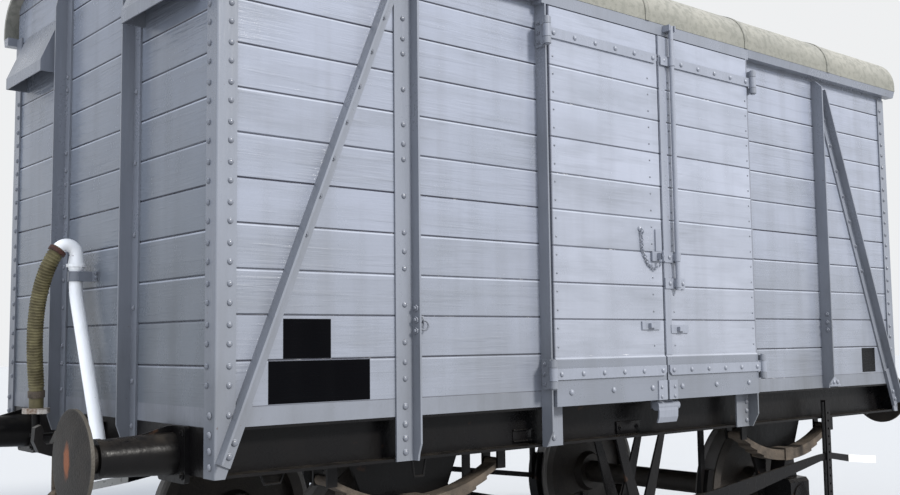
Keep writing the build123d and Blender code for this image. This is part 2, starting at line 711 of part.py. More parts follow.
def leaf(way):
    """Planked leaf on the near side with a thicker bottom rail, left for way -1, right for way 1."""
    face, back = -LEAF_FACE, -LEAF_FACE + LEAF_T
    outline = [(back, LEAF_Z), (face - LEDGE_OUT, LEAF_Z), (face - LEDGE_OUT, LEDGE_Z - 12), (face, LEDGE_Z)]
    outline += grooves(face, LEAF_GROOVE, LEAF_JOINT, LEAF_TOP, PLANK) + [(face, LEAF_TOP), (back, LEAF_TOP)]
    return section_x(outline, *sorted((way * LEAF_GAP, way * LEAF_EDGE)))


def hinge_strap(way, z, back):
    """Strap along a leaf, straight into the middle knuckle of its hinge."""
    near, pin_x = way * (LEAF_GAP + 8), way * PIN_X
    half = 27
    strap = section_y([
        (near, z + half), (pin_x, z + half), (pin_x, z - half),
        (near + way * 18, z - half), (near, z - half + 18),
    ], -back - STRAP_T, -back)
    strap += rod(KNUCKLE_R, (pin_x, -PIN_Y, z - 32), (pin_x, -PIN_Y, z + 32))
    return strap - rod(PIN_R + 1, (pin_x, -PIN_Y, z - 40), (pin_x, -PIN_Y, z + 40))


def cleat(x, z):
    """Plate with a raised middle."""
    plate = block((x - 75, x + 75), (-LEAF_FACE - 8, -LEAF_FACE), (z - 22, z + 22))
    return plate + block((x - 24, x + 24), (-LEAF_FACE - 28, -LEAF_FACE - 8), (z - 12, z + 12))


def leaf_ironwork(way):
    """Straps, the plate at the foot of the meeting edge, a cleat, and what is only on one leaf."""
    rail_face = LEAF_FACE + LEDGE_OUT
    near = way * (LEAF_GAP + 2)
    iron = block(sorted((near, way * 81)), (-rail_face - 6, -rail_face), (LEAF_Z, LEAF_Z + 104))
    iron += hinge_strap(way, HINGE_Z[0], rail_face) + hinge_strap(way, HINGE_Z[1], LEAF_FACE)
    if way > 0:
        iron += cleat(125, CURB_Z + 382)
        cover = block((near, 60), (-LEAF_FACE - 4, -LEAF_FACE), (LEDGE_Z, LEAF_TOP))
        return iron + cover
    iron += cleat(-120, CURB_Z + 401)
    iron += block((-102, near), (-LEAF_FACE - 14, -LEAF_FACE), (CURB_Z + 750, CURB_Z + 802))
    iron += block((-62, -44), (-LEAF_FACE - 38, -LEAF_FACE - 14), (CURB_Z + 758, CURB_Z + 794))
    handle = block((-64, -14), (-LEAF_FACE - 8, -LEAF_FACE), (CURB_Z + 804, CURB_Z + 924))
    return iron + handle


def keeper(x0, x1, z, half, back):
    """Plate on the right leaf with a sleeve round the locking bar."""
    plate = block((x0, x1), (-back - 6, -back), (z - half, z + half))
    sleeve = rod(SLEEVE_R, (BAR_X, -BAR_Y, z - 22), (BAR_X, -BAR_Y, z + 22))
    return plate + sleeve + block((BAR_X - 15, BAR_X + 15), (-BAR_Y, -back - 6), (z - 20, z + 20))


def locking_bar():
    """Round bar up the right leaf, past its top, with the keepers that hold it."""
    bar = rod(BAR_R, (BAR_X, -BAR_Y, CURB_Z + 596), (BAR_X, -BAR_Y, BAR_TOP))
    bar += keeper(LEAF_GAP + 2, 178, CURB_Z + 632, 29, LEAF_FACE + 4)
    bar += keeper(LEAF_GAP + 2, 125, CURB_Z + 776, 29, LEAF_FACE + 4)
    return bar + keeper(LEAF_GAP + 8, 118, HINGE_Z[1] - 6, 22, LEAF_FACE + STRAP_T)


def door_hinges():
    """Bracket on each door post with a knuckle above and below the strap's, and the pin."""
    hinges = []
    plate_x = (POST_X + PLATE, POST_X + 2 * PLATE)
    for z in HINGE_Z:
        hinge = rod(PIN_R, (PIN_X, -PIN_Y, z - 68), (PIN_X, -PIN_Y, z + 68))
        hinge += block(plate_x, (-SIDE_Y - POST_OUT, -SIDE_Y - 16), (z - 74, z + 74))
        for low in (z - 68, z + 34):
            hinge += rod(KNUCKLE_R, (PIN_X, -PIN_Y, low), (PIN_X, -PIN_Y, low + 34))
            hinge += block((plate_x[0], PIN_X + 8), (-PIN_Y, -SIDE_Y - POST_OUT + 8), (low, low + 34))
        for low in (z - 74, z + 68):
            hinge += rod(13, (PIN_X, -PIN_Y, low), (PIN_X, -PIN_Y, low + 6))
        hinges.append(hinge)
    return four(hinges)


def door_catches():
    """Flap on a barrel below each doorway, and an open rest on the header for the bar's head."""
    barrel_y, barrel_z = -SIDE_Y - 45, CURB_Z - 34
    flap = section_x([
        (barrel_y - 20, barrel_z), (barrel_y - 26, barrel_z - 24), (barrel_y - 24, barrel_z - 60),
        (barrel_y - 12, barrel_z - 89), (barrel_y - 4, barrel_z - 85), (barrel_y - 15, barrel_z - 57),
        (barrel_y - 17, barrel_z - 24), (barrel_y - 10, barrel_z),
    ], -52, 110)
    catch = flap + rod(24, (-52, barrel_y, barrel_z), (132, barrel_y, barrel_z))
    catch += block((-36, 96), (barrel_y, -SIDE_Y), (barrel_z - 14, CURB_Z - 6))
    rest_z = (BAR_TOP - 30, BAR_TOP + 4)
    rest = block((BAR_X - 28, BAR_X + 28), (-HEADER_Y - 12, -HEADER_Y), rest_z)
    for way in (-1, 1):
        prong_x = (BAR_X + way * (BAR_R + 6), BAR_X + way * 28)
        rest += block(prong_x, (-BAR_Y - 14, -HEADER_Y - 12), rest_z)
    return both_sides([catch, rest])


# Ventilator hoods

def end_hoods():
    """Bent sheet hood, open below, two on each end."""
    low, high = CURB_Z + 1752, CURB_Z + 2060
    out = 103 + PLATE
    y0, y1 = 510.0, 1052.0
    shell = section_y([
        (END_X, low), (END_X + out, low), (END_X + out, low + 60), (END_X + 8, high), (END_X, high),
    ], y0, y1)
    inside = section_y([
        (END_X - 1, low - 1), (END_X + out - 6, low - 1), (END_X + out - 6, low + 56), (END_X - 1, high - 10),
    ], y0 + 6, y1 - 6)
    return four([shell - inside])


# Pipe and hose

PIPE_R = 31.0
PIPE_X = LENGTH / 2 + 60         # the standpipe's plane beyond the end
PIPE_Z = SOLE_Z - 38

ELBOW_R = 44.0

# The hose runs down from the elbow: X, Y and level above the curb rail's underside
HOSE_ROUTE = [
    (-PIPE_X - 80, 88, 790), (-PIPE_X - 116, 93, 740), (-PIPE_X - 137, 175, 592), (-PIPE_X - 139, 220, 432),
    (-PIPE_X - 121, 268, 272), (-PIPE_X - 95, 305, 122), (-PIPE_X - 95, 305, 28),
]
HOSE_R = 34.0


def standpipe():
    """Corners of one end's pipe, from under the headstock to the mouth of its elbow."""
    mouth, below = [(x, y, CURB_Z + level) for x, y, level in HOSE_ROUTE[:2]]
    elbow = tuple(a - 0.54 * (b - a) for a, b in zip(mouth, below))
    return [
        (-PIPE_X, -300, PIPE_Z), (-PIPE_X, 76, CURB_Z + 580), (-PIPE_X, 76, CURB_Z + 796), elbow, mouth,
    ]


PIPE_SPLIT = END_X - 60          # where the standpipes join the level run


def pipe_along(corners, radii):
    line = FilletPolyline(*corners, radius=radii)
    return sweep(Plane(origin=line @ 0, z_dir=line % 0) * Circle(PIPE_R), line)


def standpipe_solid():
    """One end's pipe, with the socket and ring at the foot of its elbow."""
    pipe = pipe_along([(-PIPE_SPLIT, -300, PIPE_Z)] + standpipe(), [60, 240, ELBOW_R, ELBOW_R])
    ring_z = CURB_Z + 690
    socket = Pos(-PIPE_X, 76, ring_z + 48) * Cone(38, PIPE_R + 1, 40)
    ring = rod(46, (-PIPE_X, 76, ring_z + 14), (-PIPE_X, 76, ring_z + 28))
    return pipe + socket + ring + rod(35, (-PIPE_X, 76, ring_z), (-PIPE_X, 76, ring_z + 14))


def level_pipe():
    """Run under the floor from one standpipe to the other."""
    corners = [
        (-PIPE_SPLIT, -300, PIPE_Z), (600, -300, PIPE_Z), (2100, 300, PIPE_Z), (PIPE_SPLIT, 300, PIPE_Z),
    ]
    return pipe_along(corners, [400, 400])


def pipe_clips():
    """Straps that hold the standpipes to the end planks."""
    clips = []
    z = CURB_Z + 658
    y = 76
    strap = rod(PIPE_R + 7, (-PIPE_X, y, z - 24), (-PIPE_X, y, z + 24))
    strap += block((-PIPE_X, -END_X), (y - 44, y - 34), (z - 24, z + 24))
    strap += block((-END_X - 8, -END_X), (y - 120, y - 34), (z - 24, z + 24))
    strap += block((-PIPE_X - 4, -PIPE_X + 4), (y - 44, y - 30), (z - 24, z + 24))
    strap -= rod(PIPE_R + 0.3, (-PIPE_X, y, z - 26), (-PIPE_X, y, z + 26))
    return both_sides([strap])


def hose():
    corners = [(x, y, CURB_Z + level) for x, y, level in HOSE_ROUTE]
    radii = []
    for before, corner, after in zip(corners, corners[1:], corners[2:]):
        run_in, run_out = Vector(*corner) - Vector(*before), Vector(*after) - Vector(*corner)
        turn = radians(run_in.get_angle(run_out))
        radii.append(0.45 * min(run_in.length, run_out.length) / tan(turn / 2))
    line = FilletPolyline(*corners, radius=radii)
    return sweep(Plane(origin=line @ 0, z_dir=line % 0) * Circle(HOSE_R), line)


def hose_coupling():
    """Cast coupling at the hose's foot, standing on the dummy."""
    x, y, level = HOSE_ROUTE[-1]
    foot = CURB_Z + 4
    body = rod(64, (x, y, foot), (x, y, CURB_Z + level))
    return body + block((x - 20, x + 20), (y - 92, y + 92), (foot, foot + 20))


def hose_dummy():
    x, y, level = HOSE_ROUTE[-1]
    arm_z = TEE_FOOT - 5
    bracket = block((-END_X - PLATE, -END_X), (y - 30, y + 30), (arm_z - 78, arm_z))
    bracket += block((x - 22, -END_X), (y - 22, y + 22), (arm_z - 12, arm_z))
    return bracket + rod(20, (x, y, arm_z - 12), (x, y, CURB_Z + 4))


NODES = {
    "solebars": solebars,
    "solebar_loops": solebar_loops,
    "headstocks": headstocks,
    "middle_sills": middle_sills,
    "cross_bearers": cross_bearers,
    "floor": floor,
    "curb_rails": curb_rails,
    "side_planking_near": lambda: side_planking(-1),
    "side_planking_far": lambda: side_planking(1),
    "end_planking_hose_end": lambda: end_planking(-1),
    "end_planking_plain_end": lambda: end_planking(1),
    "corner_plates": corner_plates,
    "side_stanchions": side_stanchions,
    "side_diagonals": side_diagonals,
    "door_posts": door_posts,
    "end_stanchions": end_stanchions,
    "cantrails": cantrails,
    "cant_mouldings": cant_mouldings,
    "roof": roof,
    "roof_ribs": roof_ribs,
    "end_hoods": end_hoods,
    "door_hinges": door_hinges,
    "door_catches": door_catches,
    "axleboxes": axleboxes,
    "axleguards": axleguards,
    "leaf_springs": leaf_springs,
    "spring_hangers": spring_hangers,
    "axle_1": lambda: Pos(-AXLE_X, 0, AXLE_Z) * axle(),
    "axle_2": lambda: Pos(AXLE_X, 0, AXLE_Z) * axle(),
    "wheels_1": lambda: [Pos(-AXLE_X, 0, AXLE_Z) * wheel(side) for side in (-1, 1)],
    "wheels_2": lambda: [Pos(AXLE_X, 0, AXLE_Z) * wheel(side) for side in (-1, 1)],
    "brake_shaft": brake_shaft,
    "vee_hangers": vee_hangers,
    "brake_blocks": brake_blocks,
    "brake_rods": brake_rods,
    "brake_levers": brake_levers,
    "lever_guides": lever_guides,
    "buffer_housings": buffer_housings,
    "buffer_heads": buffer_heads,
    "drawhooks": drawhooks,
    "coupling_hose_end": lambda: coupling(-1),
    "coupling_plain_end": lambda: coupling(1),
    "standpipe_hose_end": standpipe_solid,
    "standpipe_plain_end": lambda: turned([standpipe_solid()]),
    "level_pipe": level_pipe,
    "pipe_clips": pipe_clips,
    "hose": hose,
    "hose_coupling": hose_coupling,
    "hose_dummy": hose_dummy,
    "door_near_left": lambda: leaf(-1),
    "door_near_right": lambda: leaf(1),
    "door_far_left": lambda: turned([leaf(-1)]),
    "door_far_right": lambda: turned([leaf(1)]),
    "ironwork_near_left": lambda: leaf_ironwork(-1),
    "ironwork_near_right": lambda: leaf_ironwork(1),
    "ironwork_far_left": lambda: turned([leaf_ironwork(-1)]),
    "ironwork_far_right": lambda: turned([leaf_ironwork(1)]),
    "locking_bar_near": locking_bar,
    "locking_bar_far": lambda: turned([locking_bar()]),
}

if __name__ == "__main__":
    os.makedirs("parts", exist_ok=True)
    for name, make in NODES.items():
        save(name, make())
        print("wrote", name)
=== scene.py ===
# %% [markdown]
# A covered railway van stands on a plain floor. The frame that is loaded here holds every board, plate,
# wheel and link at its real size, in metres, with X along the van and Z up. What is left to do is what
# a painter, a riveter and a photographer would add: paint with its brush marks, rivets and bolts, rust,
# the ribs of the hose, and a camera with soft light.

# %% Load the frame
import bpy
import bmesh
from math import cos, pi, radians, sin
from mathutils import Matrix, Vector


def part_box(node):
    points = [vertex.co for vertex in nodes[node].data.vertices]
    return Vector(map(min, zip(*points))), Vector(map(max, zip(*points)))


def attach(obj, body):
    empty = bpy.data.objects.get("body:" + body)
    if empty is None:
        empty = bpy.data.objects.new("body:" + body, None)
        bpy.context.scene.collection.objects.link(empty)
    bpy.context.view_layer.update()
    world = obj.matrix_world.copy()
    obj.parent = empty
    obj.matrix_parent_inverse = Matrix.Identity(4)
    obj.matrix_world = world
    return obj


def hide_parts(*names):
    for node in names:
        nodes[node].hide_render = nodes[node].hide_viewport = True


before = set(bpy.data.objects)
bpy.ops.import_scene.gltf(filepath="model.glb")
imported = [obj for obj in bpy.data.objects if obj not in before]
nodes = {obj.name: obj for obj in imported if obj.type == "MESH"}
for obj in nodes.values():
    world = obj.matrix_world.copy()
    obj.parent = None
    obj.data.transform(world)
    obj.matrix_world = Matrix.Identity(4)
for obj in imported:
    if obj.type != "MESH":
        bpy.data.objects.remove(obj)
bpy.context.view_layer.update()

# %% [markdown]
# The camera comes first, because it decides how large every later detail is seen. The photographer stood
# about four metres from the near corner, a little above the buffers, with the lens tipped up. A camera
# could be aimed with a tracking constraint, but a matrix made from three angles is exact and stays put.

# %% Camera
CAMERA_PLACE = Vector((-4.640, -4.968, 1.503))
CAMERA_YAW = radians(49.76)      # from the van's length towards its width
CAMERA_PITCH = radians(5.09)
CAMERA_ROLL = radians(0.66)
CAMERA_LENS = 42.44

level_reach = cos(CAMERA_PITCH)
forward = Vector((cos(CAMERA_YAW) * level_reach, sin(CAMERA_YAW) * level_reach, sin(CAMERA_PITCH)))
level_right = Vector((sin(CAMERA_YAW), -cos(CAMERA_YAW), 0))
level_up = level_right.cross(forward)
right = cos(CAMERA_ROLL) * level_right - sin(CAMERA_ROLL) * level_up
up = sin(CAMERA_ROLL) * level_right + cos(CAMERA_ROLL) * level_up

camera_data = bpy.data.cameras.new("camera")
camera_data.lens = CAMERA_LENS
camera_data.clip_end = 500
camera = bpy.data.objects.new("camera", camera_data)
aim = Matrix((right, up, -forward)).transposed().to_4x4()
camera.matrix_world = Matrix.Translation(CAMERA_PLACE) @ aim
bpy.context.scene.collection.objects.link(camera)
bpy.context.scene.camera = camera
print("camera", CAMERA_LENS, "mm")

# %% [markdown]
# The hose is a real length of rubber that hangs from the elbow of the standpipe and curves across the end
# to its parking place. A tube bent point by point would look like wire, so one smooth curve is drawn
# through the air with few control points, as the weight of the rubber would lead it.

# %% Hose
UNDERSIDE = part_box("curb_rails")[0].z          # underside of the curb rails, top of the solebars
HOSE_DIAMETER = 0.068
HOSE_LENGTH = 0.812
HOSE_OFF = -2.727                              # X of the standpipe's middle line
HOSE_ROUTE = [
    (HOSE_OFF - 0.080, 0.088, 0.790), (HOSE_OFF - 0.116, 0.093, 0.740), (HOSE_OFF - 0.137, 0.175, 0.592),
    (HOSE_OFF - 0.139, 0.220, 0.432), (HOSE_OFF - 0.121, 0.268, 0.272), (HOSE_OFF - 0.095, 0.305, 0.122),
    (HOSE_OFF - 0.095, 0.305, 0.028),
]

hose_curve = bpy.data.curves.new("hose_curve", "CURVE")
hose_curve.dimensions = "3D"
hose_curve.resolution_u = 24
spline = hose_curve.splines.new("NURBS")
spline.points.add(len(HOSE_ROUTE) - 1)
for point, (x, y, level) in zip(spline.points, HOSE_ROUTE):
    point.co = (x, y, UNDERSIDE + level, 1)
    point.radius = HOSE_DIAMETER / 2           # each point carries the radius, so the curve's box fits it
spline.order_u = 3
spline.use_endpoint_u = True
hose = bpy.data.objects.new("air_hose", hose_curve)
bpy.context.scene.collection.objects.link(hose)
hose_line = [vertex.co.copy() for vertex in bpy.data.meshes.new_from_object(hose).vertices]
hose_curve.bevel_depth = 1
hose_curve.bevel_resolution = 6
hose_curve.use_fill_caps = True
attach(hose, "body")
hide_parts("hose")
print("hose line", len(hose_line), "points")

# %% [markdown]
# The light is a broad, hazy sun on the near side, which leaves the end in shade as in the photograph. Bright
# haze beyond the end lights it softly, and a pale sky fills the shadows. Behind the van the camera sees one
# plain pale tone, so that nothing stands in the picture but the van.

# %% Light and floor
SUN_FROM = Vector((0.15, -0.84, 0.56))
HAZE_FROM = Vector((-0.90, -0.20, 0.40))
SKY_COLOR = (0.80, 0.87, 1.0, 1)
SKY_STRENGTH = 1.42
BACKDROP_COLOR = (0.86, 0.87, 0.88, 1)
FLOOR_COLOR = (0.418, 0.418, 0.412, 1)
FLOOR_SIZE = 160


def distant_light(name, source, energy, degrees, color):
    """A light that shines from one direction, spread over an angle."""
    data = bpy.data.lights.new(name, "SUN")
    data.energy = energy
    data.angle = radians(degrees)
    data.color = color
    lamp = bpy.data.objects.new(name, data)
    lamp.rotation_euler = source.to_track_quat("Z", "Y").to_euler()
    bpy.context.scene.collection.objects.link(lamp)


distant_light("sun", SUN_FROM, energy=4.1, degrees=11, color=(1.0, 0.97, 0.92))
distant_light("haze", HAZE_FROM, energy=0.7, degrees=110, color=(0.95, 0.97, 1.0))

world = bpy.data.worlds.new("studio")
bpy.context.scene.world = world
world.use_nodes = True
tree = world.node_tree
tree.nodes.clear()
path = tree.nodes.new("ShaderNodeLightPath")
seen = path.outputs["Is Camera Ray"]
for kind in ("Is Glossy Ray", "Is Transmission Ray"):
    either = tree.nodes.new("ShaderNodeMath")
    either.operation = "MAXIMUM"
    tree.links.new(seen, either.inputs[0])
    tree.links.new(path.outputs[kind], either.inputs[1])
    seen = either.outputs[0]
sky = tree.nodes.new("ShaderNodeBackground")
sky.inputs["Color"].default_value = SKY_COLOR
sky.inputs["Strength"].default_value = SKY_STRENGTH
backdrop = tree.nodes.new("ShaderNodeBackground")
backdrop.inputs["Color"].default_value = BACKDROP_COLOR
mix = tree.nodes.new("ShaderNodeMixShader")
tree.links.new(seen, mix.inputs[0])
tree.links.new(sky.outputs[0], mix.inputs[1])
tree.links.new(backdrop.outputs[0], mix.inputs[2])
output = tree.nodes.new("ShaderNodeOutputWorld")
tree.links.new(mix.outputs[0], output.inputs["Surface"])
bpy.context.scene.view_settings.view_transform = "Standard"

bpy.ops.object.select_all(action="DESELECT")
bpy.ops.mesh.primitive_plane_add(size=FLOOR_SIZE, location=(0, 0, 0))
floor_plane = bpy.context.object
floor_plane.name = "studio_floor"
floor_material = bpy.data.materials.new("studio_floor")
floor_material.use_nodes = True
floor_shader = floor_material.node_tree.nodes["Principled BSDF"]
floor_shader.inputs["Base Color"].default_value = FLOOR_COLOR
floor_shader.inputs["Roughness"].default_value = 0.9
floor_plane.data.materials.append(floor_material)
print("light and floor set")

# %% [markdown]
# Every paint and metal here is a small tree of nodes. Writing out each node by hand would fill pages, so
# a few short helpers add a node, do a sum, spread a value over a range, or mix two colours.

# %% Helpers for node trees
def put(tree, kind, settings, sockets):
    """Add one node, set its own settings, then link or fill its input sockets."""
    node = tree.nodes.new("ShaderNode" + kind)
    for name, value in settings.items():
        setattr(node, name, value)
    for name, value in sockets.items():
        if isinstance(value, bpy.types.NodeSocket):
            tree.links.new(value, node.inputs[name])
        else:
            node.inputs[name].default_value = value
    return node


def calc(tree, operation, *values):
    return put(tree, "Math", {"operation": operation}, dict(enumerate(values))).outputs[0]


def spread(tree, value, low, high, to_low=0.0, to_high=1.0):
    """Turn a value between low and high into one between to_low and to_high, and hold it there."""
    return put(tree, "MapRange", {}, {0: value, 1: low, 2: high, 3: to_low, 4: to_high}).outputs[0]


def noise(tree, place, scale, detail=3.0):
    return put(tree, "TexNoise", {}, {"Vector": place, "Scale": scale, "Detail": detail}).outputs[0]


def stretch(tree, place, factors):
    return put(tree, "VectorMath", {"operation": "MULTIPLY"}, {0: place, 1: factors}).outputs[0]


def tint(tree, amount, under, over):
    return put(tree, "Mix", {"data_type": "RGBA"}, {0: amount, 6: under, 7: over}).outputs[2]


def axes_of(tree, place):
    return put(tree, "SeparateXYZ", {}, {0: place}).outputs


def facing_up(tree):
    """How far a surface faces up: one for level ground, nought for a wall."""
    return axes_of(tree, tree.nodes.new("ShaderNodeNewGeometry").outputs["Normal"])["Z"]


def distance_of(tree, one, other):
    """How far a point lies from a centre, given its two offsets from it."""
    squares = [calc(tree, "POWER", offset, 2.0) for offset in (one, other)]
    return calc(tree, "SQRT", calc(tree, "ADD", *squares))


def chance_of(tree, number):
    """A value from nought to one for each whole number, the same each time."""
    return put(tree, "TexWhiteNoise", {"noise_dimensions": "1D"}, {"W": number}).outputs["Value"]


print("helpers ready")

# %% [markdown]
# Everything on the van has stood outdoors, so one effect is shared by all of its finishes: cloudy
# patches, rain streaks that run down, a darkening towards the bottom, and a fine unevenness.
# It is a node group with named sockets, so each finish gives it its own colours and strength.

# %% Weather group
CLOUD_SHADE = (0.84, 0.85, 0.86, 1)

weather = bpy.data.node_groups.new("weather", "ShaderNodeTree")
for name, kind in (("Place", "Vector"), ("Paint", "Color"), ("Dirt", "Color"), ("Dirt Amount", "Float"),
                   ("Gloss", "Float")):
    weather.interface.new_socket(name, in_out="INPUT", socket_type="NodeSocket" + kind)
for name, kind in (("Color", "Color"), ("Roughness", "Float"), ("Height", "Float")):
    weather.interface.new_socket(name, in_out="OUTPUT", socket_type="NodeSocket" + kind)
taken = weather.nodes.new("NodeGroupInput").outputs
given = weather.nodes.new("NodeGroupOutput").inputs

clouds = spread(weather, noise(weather, taken["Place"], 2.3, 5), 0.35, 0.65)
streaks = spread(weather, noise(weather, stretch(weather, taken["Place"], (9, 9, 0.7)), 1.0, 4), 0.48, 0.72)
specks = noise(weather, taken["Place"], 75, 2)
# Darker towards the bottom, from about two metres down.
lowness = spread(weather, axes_of(weather, taken["Place"])["Z"], 2.1, 0.9)
darker_low = calc(weather, "MULTIPLY", lowness, calc(weather, "MULTIPLY_ADD", clouds, 0.6, 0.4))
dirty = calc(weather, "MULTIPLY_ADD", streaks, 0.3, darker_low)
dirt = calc(weather, "MULTIPLY", calc(weather, "MINIMUM", dirty, 1.0), taken["Dirt Amount"])
darker = put(weather, "Mix", {"data_type": "RGBA", "blend_type": "MULTIPLY"},
             {0: 1.0, 6: taken["Paint"], 7: CLOUD_SHADE}).outputs[2]
cloudy = tint(weather, calc(weather, "MULTIPLY", clouds, 0.5), taken["Paint"], darker)
weather.links.new(tint(weather, dirt, cloudy, taken["Dirt"]), given["Color"])
specked_gloss = calc(weather, "MULTIPLY_ADD", specks, 0.1, taken["Gloss"])
worn_gloss = calc(weather, "MULTIPLY_ADD", clouds, 0.08, specked_gloss)
weather.links.new(calc(weather, "MULTIPLY_ADD", dirt, 0.3, worn_gloss), given["Roughness"])
weather.links.new(specks, given["Height"])
print("weather group", len(weather.nodes), "nodes")


# %% Starting and finishing a material
def new_material(name):
    """A node material, with its tree, its shader and the place of a point on the van."""
    material = bpy.data.materials.new(name)
    material.use_nodes = True
    tree = material.node_tree
    place = tree.nodes.new("ShaderNodeTexCoord").outputs["Object"]
    return material, tree, tree.nodes["Principled BSDF"], place


def weathered(tree, shader, place, paint, dirt, amount, gloss, relief, depth):
    """Weather a paint and send it to the shader, over a relief whose height 1 stands depth metres proud."""
    sockets = {"Place": place, "Paint": paint, "Dirt": dirt, "Dirt Amount": amount, "Gloss": gloss}
    worn = put(tree, "Group", {"node_tree": weather}, sockets).outputs
    tree.links.new(worn["Color"], shader.inputs["Base Color"])
    tree.links.new(worn["Roughness"], shader.inputs["Roughness"])
    height = calc(tree, "MULTIPLY_ADD", worn["Height"], 0.15, relief)
    bump = put(tree, "Bump", {}, {"Distance": depth, "Height": height})
    tree.links.new(bump.outputs[0], shader.inputs["Normal"])


def dress(material, *names):
    """Give a CAD node's own material slots to a material."""
    for name in names:
        for held in nodes[name].material_slots:
            held.material = material
        if not nodes[name].material_slots:
            nodes[name].data.materials.append(material)
    print(material.name, "on", ", ".join(names))


print("materials can be made")

# %% [markdown]
# The walls are planks under thick gloss paint. The grain still shows through as fine lines along each
# plank, a few old cracks run with it, the joints hold dirt, and no two planks are quite the same tone.
# All of it follows from one number, which plank a point is on, found from its height. The side walls
# carry three small black patches each, and these are rectangles in the same tree.

# %% Plank paint
PLANK = 0.1836
END_PLANK = 0.181                # the end planks are a little narrower
WALL_FOOT = 1.255
END_FOOT = 1.238                 # and are counted from a little lower
LEAF_JOINT = 1.610               # the first joint of a door, above its bottom rail
LEDGE_LEVEL = 1.420
LEAF_EDGE_X = 0.849
GREY = (0.215, 0.231, 0.276, 1)
# the ends' grey is a darker copy of the side grey: painted shade, for ends that stand in shade
GREY_END_SHADED = (0.113, 0.129, 0.151, 1)
LEAF_GREY = (0.268, 0.283, 0.330, 1)
GREY_DARK = (0.148, 0.160, 0.183, 1)
RAIL_GREY = (0.118, 0.129, 0.153, 1)
# pale blue of a painted sky reflection on the gloss
GREY_SKY_REFLECTION = (0.345, 0.372, 0.460, 1)
# painted highlight on the upper arris of a plank
ARRIS_HIGHLIGHT = (0.383, 0.406, 0.464, 1)
# painted highlight along the ledge of a door's bottom rail
LEDGE_HIGHLIGHT = (0.383, 0.400, 0.452, 1)
SEAM_DARK = (0.041, 0.042, 0.058, 1)
WEATHER_DARK = (0.078, 0.082, 0.087, 1)
PATCH_BLACK = (0.0046, 0.0046, 0.0058, 1)
BRUSHED_EDGE = 0.001
PLANK_DIRT = 0.64
LEAF_DIRT = 0.42
PLANK_GLOSS = 0.13


def band(tree, value, low, high):
    """One between two values, nought outside them, with a soft edge at each."""
    past_low = spread(tree, value, low - BRUSHED_EDGE, low + BRUSHED_EDGE)
    before_high = spread(tree, value, high + BRUSHED_EDGE, high - BRUSHED_EDGE)
    return calc(tree, "MULTIPLY", past_low, before_high)


def rectangle(tree, across, level, low, high):
    """One inside a rectangle on a wall, nought outside it."""
    return calc(tree, "MULTIPLY", band(tree, across, low[0], high[0]), band(tree, level, low[1], high[1]))


def plank_paint(name, along, joint, lowest, paint, seam_strength=1.0, plank=PLANK, mirror=0.8):
    """Gloss paint, before the weather, on planks along one axis, counted up from their lowest joint."""
    material, tree, shader, place = new_material(name)
    axes = axes_of(tree, place)
    rows = calc(tree, "DIVIDE", calc(tree, "SUBTRACT", axes["Z"], joint), plank)
    number = calc(tree, "MAXIMUM", calc(tree, "FLOOR", rows), -2.0)    # a door's bottom rail is one piece
    within = calc(tree, "FRACT", rows)
    planked = spread(tree, axes["Z"], lowest - 0.010, lowest - 0.008)
    seam = spread(tree, calc(tree, "PINGPONG", within, 0.5), 0.014, 0.026, 1, 0)
    seam = calc(tree, "MULTIPLY", seam, planked)
    arris = calc(tree, "MULTIPLY", spread(tree, within, 0.935, 0.950), spread(tree, within, 0.985, 0.972))
    tone = chance_of(tree, number)
    shifts = {0: calc(tree, "MULTIPLY", number, 3.7), 1: calc(tree, "MULTIPLY", number, 5.3)}
    offset = put(tree, "CombineXYZ", {}, shifts).outputs[0]
    shifted = put(tree, "VectorMath", {"operation": "ADD"}, {0: place, 1: offset}).outputs[0]
    grain_scale = [5.0, 5.0, 95.0]
    crack_scale = [1.6, 1.6, 34.0]
    stain_scale = [2.2, 2.2, 9.0]
    grain_scale[1 - along] = crack_scale[1 - along] = stain_scale[1 - along] = 1.0
    rough_places = spread(tree, noise(tree, shifted, 2.1, 3), 0.42, 0.60, 0.25, 1.0)
    grain = spread(tree, noise(tree, stretch(tree, shifted, grain_scale), 1.0, 5), 0.3, 0.7)
    grain = calc(tree, "MULTIPLY", grain, rough_places)
    ridges = spread(tree, noise(tree, stretch(tree, shifted, crack_scale), 1.0, 4), 0.56, 0.68)
    stains = spread(tree, noise(tree, stretch(tree, shifted, stain_scale), 1.0, 6), 0.46, 0.66)
    wrinkle_scale = [factor * 0.45 for factor in grain_scale]
    wrinkles = noise(tree, stretch(tree, shifted, wrinkle_scale), 1.7, 4)
    wrinkles = calc(tree, "MULTIPLY", wrinkles, rough_places)
    shade = calc(tree, "MULTIPLY_ADD", grain, 0.20, calc(tree, "MULTIPLY", tone, 0.26))
    shade = calc(tree, "MULTIPLY_ADD", stains, 0.24, calc(tree, "MULTIPLY_ADD", ridges, 0.14, shade))
    # Paler and bluer towards the top: a painted reflection of the sky in the gloss paint.
    sky_reflection = calc(tree, "MULTIPLY", spread(tree, axes["Z"], 1.7, 3.3), 0.42)
    color = tint(tree, shade, tint(tree, sky_reflection, paint, GREY_SKY_REFLECTION), GREY_DARK)
    # A painted highlight along the upper arris of each plank, stronger on some planks than on others.
    arris_highlight = calc(tree, "MULTIPLY", arris, planked)
    arris_highlight = calc(tree, "MULTIPLY", arris_highlight, spread(tree, tone, 0.2, 0.8, 0.1, 0.8))
    color = tint(tree, arris_highlight, color, ARRIS_HIGHLIGHT)
    filled = spread(tree, tone, 0.55, 0.9, seam_strength, seam_strength * 0.5)
    color = tint(tree, calc(tree, "MULTIPLY", seam, filled), color, SEAM_DARK)
    relief = calc(tree, "MULTIPLY_ADD", ridges, 0.45, calc(tree, "MULTIPLY", grain, 0.5))
    relief = calc(tree, "MULTIPLY_ADD", wrinkles, 0.9, relief)
    shader.inputs["Specular IOR Level"].default_value = mirror
    return material, tree, shader, place, color, relief


print("planks can be painted")
